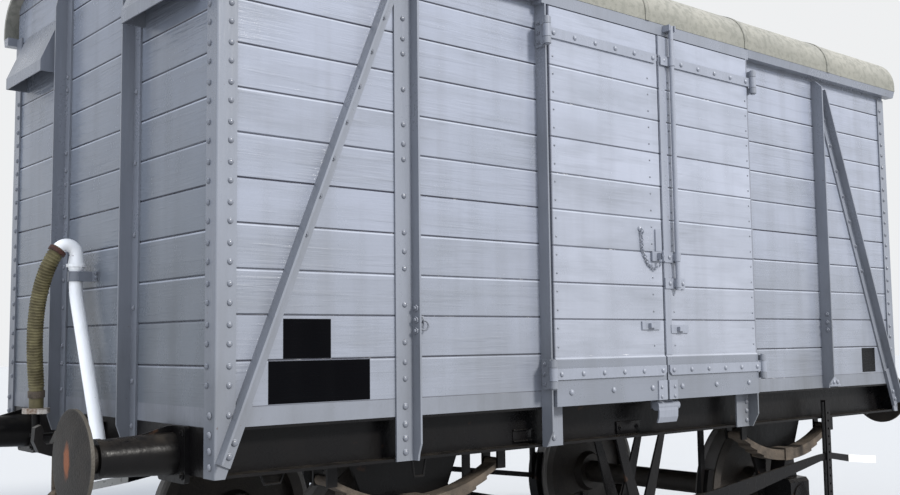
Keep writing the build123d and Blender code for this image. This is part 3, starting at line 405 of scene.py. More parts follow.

# %% End walls
# The end planks take the darker grey, as painted shade.
end_paint, tree, shader, place, color, relief = plank_paint(
    "end_plank_paint", 1, END_FOOT, WALL_FOOT, GREY_END_SHADED, plank=END_PLANK, mirror=0.4)
weathered(tree, shader, place, color, WEATHER_DARK, PLANK_DIRT, PLANK_GLOSS, relief, 0.0024)
dress(end_paint, "end_planking_hose_end", "end_planking_plain_end")

# %% Side walls with their black patches
BLACK_PATCHES = [((-2.357, 1.442), (-2.123, 1.606)), ((-2.426, 1.260), (-1.921, 1.434)),
                  ((2.222, 1.266), (2.398, 1.430))]

side_paint, tree, shader, place, color, relief = plank_paint(
    "side_plank_paint", 0, WALL_FOOT, WALL_FOOT, GREY)
axes = axes_of(tree, place)
wall = calc(tree, "MULTIPLY", calc(tree, "SIGN", axes["Y"]), -1.0)
side = calc(tree, "MULTIPLY", axes["X"], wall)
black = 0.0
for low, high in BLACK_PATCHES:
    black = calc(tree, "MAXIMUM", rectangle(tree, side, axes["Z"], low, high), black)
color = tint(tree, black, color, PATCH_BLACK)
amount = spread(tree, black, 0, 1, PLANK_DIRT, 0.04)
weathered(tree, shader, place, color, WEATHER_DARK, amount, PLANK_GLOSS, relief, 0.0020)
tree.links.new(black, shader.inputs["Metallic"])      # a dark metal mirrors less than a dark paint
dress(side_paint, "side_planking_near", "side_planking_far")

# %% Door leaves
leaf_paint, tree, shader, place, color, relief = plank_paint(
    "door_plank_paint", 0, LEAF_JOINT, LEAF_JOINT, LEAF_GREY, seam_strength=0.7)
axes = axes_of(tree, place)
edge = spread(tree, calc(tree, "ABSOLUTE", axes["X"]), LEAF_EDGE_X, LEAF_EDGE_X + 0.004)
rail = spread(tree, axes["Z"], LEDGE_LEVEL, LEDGE_LEVEL - 0.004)    # duller below the bottom rail's ledge
# A pale line at the top of the bottom rail: a painted highlight on the edge of its ledge.
lip = calc(tree, "MULTIPLY", rail, spread(tree, axes["Z"], LEDGE_LEVEL - 0.012, LEDGE_LEVEL - 0.006))
color = tint(tree, calc(tree, "MULTIPLY", edge, 0.55), color, SEAM_DARK)
color = tint(tree, calc(tree, "MULTIPLY", rail, 0.80), color, RAIL_GREY)
color = tint(tree, calc(tree, "MULTIPLY", lip, 0.8), color, LEDGE_HIGHLIGHT)
weathered(tree, shader, place, color, WEATHER_DARK, LEAF_DIRT, PLANK_GLOSS, relief, 0.0008)
dress(leaf_paint, "door_near_left", "door_near_right", "door_far_left", "door_far_right")

# %% [markdown]
# The steel bars and plates have the same grey, but paint on steel is smoother: it shows brush marks
# down the bar, a pinhead of rust here and there where it has chipped, and a painted highlight on top faces.

# %% Steel paint
RUST = (0.067, 0.024, 0.0093, 1)
# painted highlight on faces of painted steel that turn up
TOP_HIGHLIGHT_GREY = (0.464, 0.481, 0.522, 1)


def painted_steel(name, paint, amount, gloss):
    """Paint brushed down steel, chipped to rust in a few places, with a painted highlight on top faces."""
    material, tree, shader, place = new_material(name)
    brushed = spread(tree, noise(tree, stretch(tree, place, (45, 45, 6)), 1.0, 4), 0.3, 0.7)
    chips = spread(tree, noise(tree, place, 42, 3), 0.74, 0.77)
    top_highlight = calc(tree, "MULTIPLY", spread(tree, facing_up(tree), 0.55, 0.95), 0.75)
    color = tint(tree, calc(tree, "MULTIPLY", brushed, 0.25), paint, GREY_DARK)
    color = tint(tree, top_highlight, color, TOP_HIGHLIGHT_GREY)       # painted highlight: faces that turn up are paler
    color = tint(tree, calc(tree, "MULTIPLY", chips, 0.8), color, RUST)
    weathered(tree, shader, place, color, WEATHER_DARK, amount, gloss, brushed, 0.0007)
    return material


steel_paint = painted_steel("steel_paint", (0.178, 0.190, 0.220, 1), amount=0.72, gloss=0.20)
leaf_iron = painted_steel("leaf_iron", (0.218, 0.232, 0.272, 1), amount=0.34, gloss=0.20)
# Rivets and bolts take a darker copy of the steel grey: partly dirt, partly a painted dark reflection in
# their domes.
rivet_dirt_and_reflection = painted_steel("rivet_dirt_and_reflection", (0.145, 0.154, 0.180, 1), amount=0.35, gloss=0.12)
nail_paint = painted_steel("nail_paint", (0.136, 0.145, 0.171, 1), amount=0.30, gloss=0.15)
dress(steel_paint, "curb_rails", "corner_plates", "side_stanchions", "side_diagonals", "door_posts",
      "end_stanchions", "cantrails", "roof_ribs", "end_hoods", "cant_mouldings", "door_hinges", "pipe_clips")
dress(leaf_iron, "door_catches", "locking_bar_near", "locking_bar_far",
      "ironwork_near_left", "ironwork_near_right", "ironwork_far_left", "ironwork_far_right")

# %% [markdown]
# The roof sheet was painted once and has weathered to a chalky stone colour. Lichen and soot make fine
# specks on it, and they gather at its edges, where the rain leaves them.

# %% Roof sheet
CHALK = (0.331, 0.316, 0.275, 1)
CHALK_DULL = (0.261, 0.252, 0.223, 1)
LICHEN = (0.099, 0.104, 0.087, 1)
EAVES_GREEN = (0.139, 0.139, 0.116, 1)
ROOF_SOOT = (0.116, 0.116, 0.099, 1)

roof_sheet, tree, shader, place = new_material("roof_sheet")
spots = spread(tree, noise(tree, place, 28, 6), 0.45, 0.62)
blotches = spread(tree, noise(tree, place, 3.2, 5), 0.38, 0.66)
eaves = spread(tree, axes_of(tree, place)["Z"], 3.50, 3.33)
color = tint(tree, blotches, CHALK, CHALK_DULL)
color = tint(tree, calc(tree, "MULTIPLY", spots, 0.45), color, LICHEN)
color = tint(tree, calc(tree, "MULTIPLY", eaves, 0.7), color, EAVES_GREEN)
weathered(tree, shader, place, color, ROOF_SOOT, 0.2, 0.72, spots, 0.0015)
dress(roof_sheet, "roof")

# %% [markdown]
# Below the floor everything is glossy black. Black paint shows mostly by what it mirrors, so its gloss
# matters more than its colour: it is smooth where it is clean, and dull brown where dust has settled.

# %% Black gloss paint
SOOT = (0.0032, 0.0032, 0.0038, 1)
ROAD_DUST = (0.043, 0.036, 0.028, 1)
FLAKE_BROWN = (0.035, 0.017, 0.0093, 1)


def black_gloss(name):
    """Black paint before the weather, with its lumps as relief."""
    material, tree, shader, place = new_material(name)
    patchy = spread(tree, noise(tree, place, 14, 4), 0.35, 0.65)
    settled = calc(tree, "MULTIPLY", spread(tree, facing_up(tree), 0.4, 0.95), patchy)
    lumps = noise(tree, place, 22, 4)
    flaking = spread(tree, noise(tree, place, 9, 6), 0.68, 0.72)
    color = tint(tree, calc(tree, "MULTIPLY", settled, 0.6), SOOT, ROAD_DUST)
    color = tint(tree, calc(tree, "MULTIPLY", flaking, 0.7), color, FLAKE_BROWN)
    shader.inputs["Specular IOR Level"].default_value = 0.13
    return material, tree, shader, place, color, lumps


black_paint, tree, shader, place, color, lumps = black_gloss("black_paint")
weathered(tree, shader, place, color, ROAD_DUST, 0.08, 0.20, lumps, 0.002)
dress(black_paint, "solebars", "headstocks", "middle_sills", "cross_bearers", "solebar_loops", "axleboxes",
      "axleguards", "spring_hangers", "brake_shaft", "vee_hangers", "brake_blocks", "brake_rods",
      "lever_guides", "buffer_housings", "drawhooks", "level_pipe", "hose_dummy")

# %% Brake lever with a white handle
HANDLE_X = 1.953                 # the handle is white beyond this
HANDLE_WHITE = (0.86, 0.86, 0.83, 1)
HANDLE_WORN = (0.14, 0.13, 0.11, 1)

lever_paint, tree, shader, place, black = black_gloss("lever_paint")[:5]
along = calc(tree, "ABSOLUTE", axes_of(tree, place)["X"])
handle = spread(tree, along, HANDLE_X, HANDLE_X + 0.004)
worn_through = spread(tree, noise(tree, place, 30, 4), 0.60, 0.64)
white = tint(tree, calc(tree, "MULTIPLY", worn_through, 0.4), HANDLE_WHITE, HANDLE_WORN)
weathered(tree, shader, place, tint(tree, handle, black, white), ROAD_DUST, 0.05, 0.3, worn_through, 0.0008)
dress(lever_paint, "brake_levers")

# %% [markdown]
# Bare metal ages in its own ways. Spring leaves rust brown and dry, the buffer head is greasy in the
# middle with bright orange where it was knocked, the couplings are rubbed, and a wheel is brown all over
# except for its tread, which running keeps bright.

# %% Bare metals
def bare_metal(name, dark, light, scale, metallic):
    """Metal, before the weather, whose tone changes in patches of about one part in scale of a metre."""
    material, tree, shader, place = new_material(name)
    shader.inputs["Metallic"].default_value = metallic
    patches = spread(tree, noise(tree, place, scale, 6), 0.35, 0.65)
    pits = spread(tree, noise(tree, place, scale * 9, 3), 0.4, 0.7)
    mottling = calc(tree, "MULTIPLY_ADD", pits, 0.3, calc(tree, "MULTIPLY", patches, 0.7))
    return material, tree, shader, place, tint(tree, mottling, dark, light), pits


def rusted(name, dark, light, scale, metallic, gloss):
    """A bare metal, weathered all over."""
    material, tree, shader, place, color, pits = bare_metal(name, dark, light, scale, metallic)
    weathered(tree, shader, place, color, ROAD_DUST, 0.25, gloss, pits, 0.0012)
    return material


spring_rust = rusted("spring_rust", (0.035, 0.027, 0.020, 1), (0.110, 0.084, 0.061, 1),
                     scale=16, metallic=0.0, gloss=0.75)
dress(spring_rust, "leaf_springs")

link_iron = rusted("link_iron", (0.035, 0.026, 0.019, 1), (0.139, 0.110, 0.081, 1),
                   scale=20, metallic=0.4, gloss=0.5)
dress(link_iron, "coupling_hose_end", "coupling_plain_end")

red_rust = rusted("red_rust", (0.026, 0.0081, 0.0058, 1), (0.110, 0.035, 0.021, 1),
                  scale=24, metallic=0.0, gloss=0.6)
chalky_rust = rusted("chalky_rust", (0.160, 0.105, 0.070, 1), (0.680, 0.650, 0.600, 1),
                     scale=11, metallic=0.0, gloss=0.6)
dress(chalky_rust, "hose_coupling")

# %% Wheels
AXLE_X = 1.524
AXLE_Z = 0.504
TREAD_RADIUS = 0.476
WHEEL_FACE_Y = 0.800
TREAD_BRIGHT = (0.128, 0.122, 0.116, 1)

wheel_steel, tree, shader, place, color, pits = bare_metal(
    "wheel_steel", (0.0093, 0.0075, 0.0064, 1), (0.026, 0.020, 0.016, 1), scale=12, metallic=0.2)
axes = axes_of(tree, place)
reach = calc(tree, "SUBTRACT", calc(tree, "ABSOLUTE", axes["X"]), AXLE_X)
height = calc(tree, "SUBTRACT", axes["Z"], AXLE_Z)
outer = spread(tree, distance_of(tree, reach, height), TREAD_RADIUS - 0.007, TREAD_RADIUS - 0.005)
inward = spread(tree, calc(tree, "ABSOLUTE", axes["Y"]), WHEEL_FACE_Y, WHEEL_FACE_Y - 0.005)
color = tint(tree, calc(tree, "MULTIPLY", outer, inward), color, TREAD_BRIGHT)
weathered(tree, shader, place, color, ROAD_DUST, 0.2, 0.45, pits, 0.0008)
dress(wheel_steel, "wheels_1", "wheels_2", "axle_1", "axle_2")

# %% Buffer heads
BUFFER_Y = 0.870
BUFFER_Z = 1.063
HEAD_FACE_X = 3.080
HEAD_RADIUS = 0.200
SPOT_INWARD = 0.020              # the knocked spot lies a little towards the van's middle
SPOT_ORANGE = (0.250, 0.072, 0.020, 1)
RIM_RUBBED = (0.058, 0.052, 0.043, 1)

buffer_steel, tree, shader, place, color, pits = bare_metal(
    "buffer_steel", (0.0081, 0.0070, 0.0064, 1), (0.020, 0.016, 0.013, 1), scale=14, metallic=0.0)
shader.inputs["Specular IOR Level"].default_value = 0.20
axes = axes_of(tree, place)
across = calc(tree, "ABSOLUTE", axes["Y"])
above = calc(tree, "SUBTRACT", axes["Z"], BUFFER_Z)
narrow = calc(tree, "MULTIPLY", calc(tree, "SUBTRACT", across, BUFFER_Y - SPOT_INWARD), 2.2)
ragged = calc(tree, "MULTIPLY_ADD", noise(tree, place, 30, 4), 0.05, distance_of(tree, narrow, above))
on_face = spread(tree, calc(tree, "ABSOLUTE", axes["X"]), HEAD_FACE_X - 0.010, HEAD_FACE_X)
knocked = calc(tree, "MULTIPLY", spread(tree, ragged, 0.105, 0.070), on_face)
color = tint(tree, calc(tree, "MULTIPLY", knocked, 0.9), color, SPOT_ORANGE)
off_centre = distance_of(tree, calc(tree, "SUBTRACT", across, BUFFER_Y), above)
rim = spread(tree, off_centre, HEAD_RADIUS - 0.007, HEAD_RADIUS)
weathered(tree, shader, place, tint(tree, rim, color, RIM_RUBBED), ROAD_DUST, 0.2, 0.42, pits, 0.001)
dress(buffer_steel, "buffer_heads")

# %% [markdown]
# The standpipe is white gloss, dirtied by hands and by the coupling iron beside it. The load space has a
# bare floor of worn boards laid across the van, with a dark gap between each and the next.

# %% Pipe paint
PIPE_WHITE = (0.95, 0.95, 0.95, 1)
PIPE_SMEAR = (0.60, 0.58, 0.52, 1)

pipe_paint, tree, shader, place = new_material("pipe_paint")
smears = spread(tree, noise(tree, stretch(tree, place, (20, 20, 4)), 1.0, 5), 0.50, 0.72)
color = tint(tree, calc(tree, "MULTIPLY", smears, 0.15), PIPE_WHITE, PIPE_SMEAR)
chips = spread(tree, noise(tree, place, 34, 3), 0.72, 0.75)
weathered(tree, shader, place, tint(tree, chips, color, RUST), WEATHER_DARK, 0.03, 0.22, smears, 0.0008)
dress(pipe_paint, "standpipe_hose_end", "standpipe_plain_end")

# %% Floor boards
BOARD = 0.165
WOOD_PALE = (0.174, 0.139, 0.099, 1)
WOOD_DARK = (0.087, 0.064, 0.043, 1)
WOOD_WORN = (0.116, 0.104, 0.087, 1)
GAP_DARK = (0.012, 0.0093, 0.0070, 1)
FLOOR_DUST = (0.116, 0.099, 0.075, 1)

floor_wood, tree, shader, place = new_material("floor_wood")
rows = calc(tree, "DIVIDE", axes_of(tree, place)["X"], BOARD)
gap = spread(tree, calc(tree, "PINGPONG", calc(tree, "FRACT", rows), 0.5), 0.012, 0.024, 1, 0)
tone = chance_of(tree, calc(tree, "FLOOR", rows))
grain = noise(tree, stretch(tree, place, (70, 2, 70)), 1.0, 6)
color = tint(tree, grain, WOOD_PALE, WOOD_DARK)
color = tint(tree, calc(tree, "MULTIPLY", tone, 0.4), color, WOOD_WORN)
relief = calc(tree, "SUBTRACT", grain, gap)
weathered(tree, shader, place, tint(tree, gap, color, GAP_DARK), FLOOR_DUST, 0.2, 0.75, relief, 0.002)
dress(floor_wood, "floor")

# %% Hose rubber
RUBBER = (0.067, 0.053, 0.017, 1)
RUBBER_BLOOM = (0.136, 0.116, 0.049, 1)
RUBBER_DUST = (0.093, 0.087, 0.064, 1)

hose_rubber, tree, shader, place = new_material("hose_rubber")
bloom = spread(tree, noise(tree, place, 18, 5), 0.38, 0.66)
weathered(tree, shader, place, tint(tree, bloom, RUBBER, RUBBER_BLOOM), RUBBER_DUST, 0.3, 0.55, bloom, 0.0008)
hose_curve.materials.append(hose_rubber)
print("materials", len(bpy.data.materials))

# %% [markdown]
# Rivets and bolts are small, but there are hundreds and they catch the light, so they give the van its
# scale. Each kind is modelled once, by cutting or extruding a primitive, and copied to its places. The
# places are written from the van's symmetry: what is on one corner is on all four, or on the one
# diagonally across from it.

# %% Patterns of fastenings
def edit_all():
    """Open the shape just added for editing, with all of it selected."""
    bpy.ops.object.mode_set(mode="EDIT")
    bpy.ops.mesh.select_all(action="SELECT")


def pattern(name):
    """Name the shape just made, smooth it, and take it out of the scene to be copied."""
    bpy.ops.object.mode_set(mode="OBJECT")
    bpy.ops.object.shade_smooth_by_angle(angle=radians(40))
    shape = bpy.context.object
    mesh = shape.data
    mesh.name = name
    bpy.data.objects.remove(shape)
    return mesh


bpy.ops.object.select_all(action="DESELECT")
bpy.ops.mesh.primitive_uv_sphere_add(segments=12, ring_count=8, radius=1)
edit_all()
bpy.ops.mesh.bisect(plane_co=(0, 0, 0.05), plane_no=(0, 0, 1), use_fill=True, clear_inner=True)
bpy.ops.mesh.select_all(action="SELECT")
bpy.ops.transform.resize(value=(1, 1, 0.72))
bpy.ops.transform.translate(value=(0, 0, -0.08))
rivet = pattern("rivet")

bpy.ops.mesh.primitive_cylinder_add(vertices=6, radius=1, depth=0.8, location=(0, 0, 0.34))
edit_all()
bpy.ops.mesh.bevel(offset=0.08, segments=1)
bpy.ops.mesh.select_all(action="DESELECT")
bpy.ops.object.mode_set(mode="OBJECT")
for face in bpy.context.object.data.polygons:
    face.select = face.normal.z > 0.99
bpy.ops.object.mode_set(mode="EDIT")
bpy.ops.mesh.inset(thickness=0.38)
bpy.ops.mesh.extrude_region_move(TRANSFORM_OT_translate={"value": (0, 0, 0.45)})
bpy.ops.transform.resize(value=(0.94, 0.94, 1))
nut = pattern("nut")
print("rivet", len(rivet.polygons), "faces, nut", len(nut.polygons), "faces")

# %% Copying a fastening to its places
UNTURNED = Matrix.Identity(4)
HALF_TURN = Matrix.Rotation(pi, 4, "Z")


def upright(direction):
    """The turn that brings Z to a direction."""
    return Vector(direction).to_track_quat("Z", "Y").to_matrix().to_4x4()


def join_as(name, meshes, body, material):
    """Make one piece of many meshes, riding on a body."""
    bpy.ops.object.select_all(action="DESELECT")
    for mesh in meshes:
        part = bpy.data.objects.new(name, mesh)
        bpy.context.scene.collection.objects.link(part)
        part.select_set(True)
        bpy.context.view_layer.objects.active = part
    bpy.ops.object.join()
    piece = bpy.context.object
    piece.name = name
    piece.data.name = name
    piece.data.materials.clear()
    piece.data.materials.append(material)
    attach(piece, body)
    print(name, len(piece.data.polygons), "faces")
    return piece


def scatter(name, shape, places, body="body", material=rivet_dirt_and_reflection, turn=UNTURNED):
    """Copy a shape to places given as point, outward direction and radius."""
    meshes = []
    for point, outward, size in places:
        mesh = shape.copy()
        mesh.transform(turn @ Matrix.Translation(point) @ upright(outward) @ Matrix.Scale(size, 4))
        meshes.append(mesh)
    return join_as(name, meshes, body, material)


print("fastenings can be copied")

# %% Rivets of the corner plates
SIDE_FACE = 1.219                # outer face of what lies on the side walls
END_FACE = 2.667
SKIRT_FACE = 1.229               # outer face of the corner plates' feet
RIVET = 0.0125
FOOT_RIVET = 0.0150              # those on the underframe are larger
CORNER_TOP = 3.15
SIDE_COLUMN_X = 2.606            # the column of rivets on the side, by the corner
END_COLUMN_Y = 1.152             # and the one on the end
END_FOOT_Y = 1.180
SIDE_FOOT_LEVEL = 1.227
PAIR_START = 1.343
PAIR_PITCH = 0.1621
PAIR_GAP = 0.075

pairs = [PAIR_START + PAIR_PITCH * step + extra for step in range(12) for extra in (0, PAIR_GAP)]
pairs = [level for level in pairs if level < CORNER_TOP]
corners = [(along, across) for along in (-1, 1) for across in (-1, 1)]
places = []
for along, across in corners:
    places += [((along * SIDE_COLUMN_X, across * SIDE_FACE, level), (0, across, 0), RIVET)
               for level in [SIDE_FOOT_LEVEL] + pairs]
    places += [((along * END_FACE, across * END_COLUMN_Y, level), (along, 0, 0), RIVET) for level in pairs]
    places += [((along * END_FACE, across * END_FOOT_Y, level), (along, 0, 0), FOOT_RIVET)
               for level in (1.028, 1.090, 1.152, SIDE_FOOT_LEVEL)]
    places += [((along * x, across * SKIRT_FACE, level), (0, across, 0), FOOT_RIVET)
               for x, level in ((2.587, 1.122), (2.610, 1.070))]
scatter("corner_rivets", rivet, places)

# %% Rivets of the stanchions and door posts
LEFT_LEG_X = 1.737               # middle of the flat leg of the stanchion left of a doorway
RIGHT_LEG_X = 1.745              # and of the one right of it
END_STANCHION_Y = 0.424
END_LEG = 0.030                  # from the middle of an end stanchion to each column of rivets
CURB_TOP = 1.25
SIDE_LEVELS = [1.022, 1.083, 1.144, 1.222, 1.343, 1.416, 1.504, 1.671, 1.833, 1.910, 1.995, 2.160, 2.327,
               2.397, 2.487, 2.649, 2.814, 2.884, 2.978, 3.110]
WIDE_LEVELS = [1.150, 1.346, 1.670, 1.995, 2.320, 2.645, 2.970]
CLOSE_LEVELS = [1.286, 1.417, 1.506, 1.697, 1.835, 1.902, 2.159, 2.327, 2.397, 2.487, 2.814, 2.884]

places = []
for along, across in corners:
    long_foot = along == across          # this stanchion reaches down over the solebar
    leg_x = LEFT_LEG_X if long_foot else RIGHT_LEG_X
    for level in SIDE_LEVELS:
        if long_foot or level > UNDERSIDE:
            size = RIVET if level > CURB_TOP else FOOT_RIVET
            places.append(((along * leg_x, across * SIDE_FACE, level), (0, across, 0), size))
    for beside in (-END_LEG, END_LEG):
        places += [((along * END_FACE, across * END_STANCHION_Y + beside, level), (along, 0, 0), RIVET)
                   for level in (WIDE_LEVELS if long_foot else CLOSE_LEVELS)]
    post = [(0.804, 1.022)] if long_foot else [(0.837, 1.020), (0.837, 1.075), (0.837, 1.130)]
    places += [((along * x, across * SIDE_FACE, level), (0, across, 0), FOOT_RIVET) for x, level in post]
scatter("stanchion_rivets", rivet, places)

# %% Bolts of the diagonals, the stanchion webs and the hinge brackets
DIAGONAL_MIDDLE = (2.048, 2.461)
DIAGONAL_STEP = (0.0682, -0.1672)
LONG_WEB = (1.692, 1.247)        # X and Y of a point on the left face of a web, seen from outside
PLAIN_WEB = (1.719, 1.257)
HINGE_LEVELS = (1.338, 3.059)
BRACKET = (0.885, 1.243)
BASE_FACE = 2.679                # the buffers' base plates
BASE_BOLTS = [(beside, rise) for beside in (-0.098, 0.098) for rise in (-0.085, 0.085)]
SMALL_BOLT = 0.012
MIDDLE_BOLT = 0.013
LARGE_BOLT = 0.016

places = []
for along, across in corners:
    for step in range(-3, 4):
        x, level = [middle + run * step for middle, run in zip(DIAGONAL_MIDDLE, DIAGONAL_STEP)]
        places.append(((along * x, across * SIDE_FACE, level), (0, across, 0), MIDDLE_BOLT))
    x, y = LONG_WEB if along == across else PLAIN_WEB
    for level in (1.553, 1.602, 1.655):
        places.append(((along * x, across * y, level), (across, 0, 0), LARGE_BOLT))
    x, y = BRACKET
    for level in HINGE_LEVELS:
        for rise in (-0.050, 0.0, 0.050):
            places.append(((along * x, across * y, level + rise), (along, 0, 0), SMALL_BOLT))
scatter("frame_bolts", nut, places)

places = [((along * BASE_FACE, across * BUFFER_Y + beside, BUFFER_Z + rise), (along, 0, 0), LARGE_BOLT)
          for along, across in corners for beside, rise in BASE_BOLTS]
scatter("buffer_bolts", nut, places, material=black_paint)

# %% Bolts of the doors
STRAP_BOLTS = [0.047 + 0.157 * step for step in range(6)]
OUTWARD = (0, -1, 0)
LEAF_FACE = -1.289
STRAP_FACE = -1.299              # also the face of the bottom rail and of the lock
LOW_STRAP_FACE = -1.309
FOOT_PLATE_FACE = -1.305
FOOT_PLATE_X = 0.056
FOOT_BOLT = 0.010
NAIL = 0.0055
RAIL_LEVEL = 1.247
RAIL_JOINT = 1.426
NAILED_EDGES = (0.088, 0.832)
NAIL_RISES = (0.045, 0.138)
LOCK_BOLTS = ((0.048, 1.810), (0.160, 1.810), (0.048, 1.954))


def leaf_bolts(way):
    """Domed bolts of one near leaf: straps, bottom rail and foot plate."""
    bolts = [((way * x, LOW_STRAP_FACE, HINGE_LEVELS[0]), OUTWARD, MIDDLE_BOLT) for x in STRAP_BOLTS]
    bolts += [((way * x, STRAP_FACE, HINGE_LEVELS[1]), OUTWARD, MIDDLE_BOLT) for x in STRAP_BOLTS]
    bolts += [((way * x, STRAP_FACE, RAIL_LEVEL), OUTWARD, FOOT_RIVET) for x in (0.127, 0.440, 0.755)]
    bolts += [((way * FOOT_PLATE_X, FOOT_PLATE_FACE, level), OUTWARD, FOOT_BOLT) for level in (1.197, 1.248)]
    return bolts


def leaf_nails(way):
    """Two nails in each plank at each edge of one near leaf."""
    joints = [RAIL_JOINT] + [LEAF_JOINT + PLANK * step for step in range(8)]
    levels = [joint + rise for joint in joints for rise in NAIL_RISES]
    return [((way * x, LEAF_FACE, level), OUTWARD, NAIL) for level in levels for x in NAILED_EDGES]


lock_bolts = [((x, STRAP_FACE, level), OUTWARD, SMALL_BOLT) for x, level in LOCK_BOLTS]
for leaf, way, extra in (("left", -1, []), ("right", 1, lock_bolts)):
    for wall, turn in (("near", UNTURNED), ("far", HALF_TURN)):
        door = f"{wall}_{leaf}_door"
        scatter(f"{leaf}_leaf_bolts_{wall}", rivet, leaf_bolts(way) + extra, door, leaf_iron, turn)
        scatter(f"{leaf}_leaf_nails_{wall}", rivet, leaf_nails(way), door, nail_paint, turn)

# %% [markdown]
# The hose is stiffened by a coil under its rubber, which shows as close ribs. Rings are set along the
# line of the hose, read from its own curve, so they stay square to it round the bend. A split iron clamp
# holds the hose on the pipe, and a second one holds it on its coupling.

# %% Ribs of the hose
RIB_PITCH = 0.0145
RIB_MINOR = 0.0045
RIB_START = 0.036
RIBBED_LENGTH = HOSE_LENGTH - 0.128

bpy.ops.mesh.primitive_torus_add(major_radius=HOSE_DIAMETER / 2, minor_radius=RIB_MINOR,
                                 major_segments=24, minor_segments=6)
edit_all()
bpy.ops.transform.resize(value=(1, 1, 1.1))
rib = pattern("rib")


def along_hose(distance):
    """The point at a distance along the hose, and the direction it runs there."""
    for start, end in zip(hose_line, hose_line[1:]):
        step = (end - start).length
        if distance <= step:
            return start.lerp(end, distance / step), (end - start).normalized()
        distance -= step
    return hose_line[-1], (hose_line[-1] - hose_line[-2]).normalized()


rib_count = int(RIBBED_LENGTH / RIB_PITCH)
places = [(*along_hose(RIB_START + RIB_PITCH * step), 1.0) for step in range(rib_count)]
hose_ribs = scatter("hose_ribs", rib, places, material=hose_rubber)

# %% Clamps of the hose
EAR_REACH = 0.030
EAR_THICK = 0.006
EAR_OFF = 0.007                  # each ear's middle from the split between them


def clamp(name, distance, depth, thick, turned, material):
    """A split band with two ears and a bolt, round the hose."""
    outside = HOSE_DIAMETER / 2 + thick
    bpy.ops.object.select_all(action="DESELECT")
    bpy.ops.mesh.primitive_cylinder_add(vertices=32, radius=outside, depth=depth)
    edit_all()
    bpy.ops.mesh.bevel(offset=thick * 0.4, segments=2)
    meshes = [pattern(name + "_band")]
    for beside in (-EAR_OFF, EAR_OFF):
        bpy.ops.mesh.primitive_cube_add(size=1)
        edit_all()
        bpy.ops.transform.resize(value=(EAR_REACH, EAR_THICK, depth * 0.9))
        bpy.ops.transform.translate(value=(outside + 0.006, beside, 0))
        bpy.ops.mesh.bevel(offset=0.002, segments=2)
        meshes.append(pattern(name + "_ear"))
    bolt = nut.copy()
    sideways = Matrix.Rotation(-pi / 2, 4, "X")
    bolt.transform(Matrix.Translation((outside + 0.013, 0.010, 0)) @ sideways @ Matrix.Scale(0.008, 4))
    meshes.append(bolt)
    point, direction = along_hose(distance)
    for mesh in meshes:
        mesh.transform(Matrix.Translation(point) @ upright(direction) @ Matrix.Rotation(turned, 4, "Z"))
    return join_as(name, meshes, "body", material)


top_clamp = clamp("hose_top_clamp", distance=0.013, depth=0.022, thick=0.0085,
                  turned=radians(150), material=red_rust)
foot_clamp = clamp("hose_foot_clamp", distance=HOSE_LENGTH - 0.070, depth=0.034, thick=0.0060,
                   turned=radians(60), material=link_iron)

# %% [markdown]
# A few small fittings finish the van: the pin and chain that lock the doors, the rings that hold them
# back when they are open, a gusset at the foot of one stanchion, a holder for a card on the solebar, and
# the raised joints of the roof sheet. Most are shaped from primitives in edit mode; the joints of the
# roof are strips of its own surface.

# %% Plates shaped from a cube
def plate(low, high, edge=0.002):
    """A plate between two corners with softened edges, as a mesh."""
    bpy.ops.object.select_all(action="DESELECT")
    bpy.ops.mesh.primitive_cube_add(size=1)
    edit_all()
    bpy.ops.transform.resize(value=[b - a for a, b in zip(low, high)])
    bpy.ops.transform.translate(value=[(a + b) / 2 for a, b in zip(low, high)])
    bpy.ops.mesh.bevel(offset=edge, segments=2)
    return pattern("plate")


def placed(shape, point, outward, size):
    """A copy of a shape, its Z turned outward, set at a point."""
    mesh = shape.copy()
    mesh.transform(Matrix.Translation(point) @ upright(outward) @ Matrix.Scale(size, 4))
    return mesh


def both_sides(name, meshes, near_body, far_body, material):
    """One piece on the near side, and its half-turn copy on the far side."""
    copies = [mesh.copy() for mesh in meshes]
    for copy in copies:
        copy.transform(HALF_TURN)
    join_as(name + "_near", meshes, near_body, material)
    join_as(name + "_far", copies, far_body, material)


print("fittings can be placed")

# %% Rings and links
bpy.ops.object.select_all(action="DESELECT")
bpy.ops.mesh.primitive_torus_add(major_radius=1, minor_radius=0.22, major_segments=20, minor_segments=8)
edit_all()
bpy.ops.transform.resize(value=(1, 1, 1.15))
ring = pattern("ring")

bpy.ops.mesh.primitive_torus_add(major_radius=1, minor_radius=0.3, major_segments=12, minor_segments=6)
edit_all()
bpy.ops.transform.resize(value=(0.72, 1.15, 1))
link = pattern("link")
print("ring", len(ring.polygons), "faces, link", len(link.polygons), "faces")

# %% Pin and chain of the doors
CHAIN_TURNS = [Vector(turn) for turn in (
    (-0.187, -1.303, 2.078), (-0.180, -1.300, 1.985), (-0.136, -1.300, 1.915),
    (-0.086, -1.303, 1.884), (-0.060, -1.318, 1.905), (-0.053, -1.326, 1.938))]
LINK_PITCH = 0.0165
LINK_SIZE = 0.0095

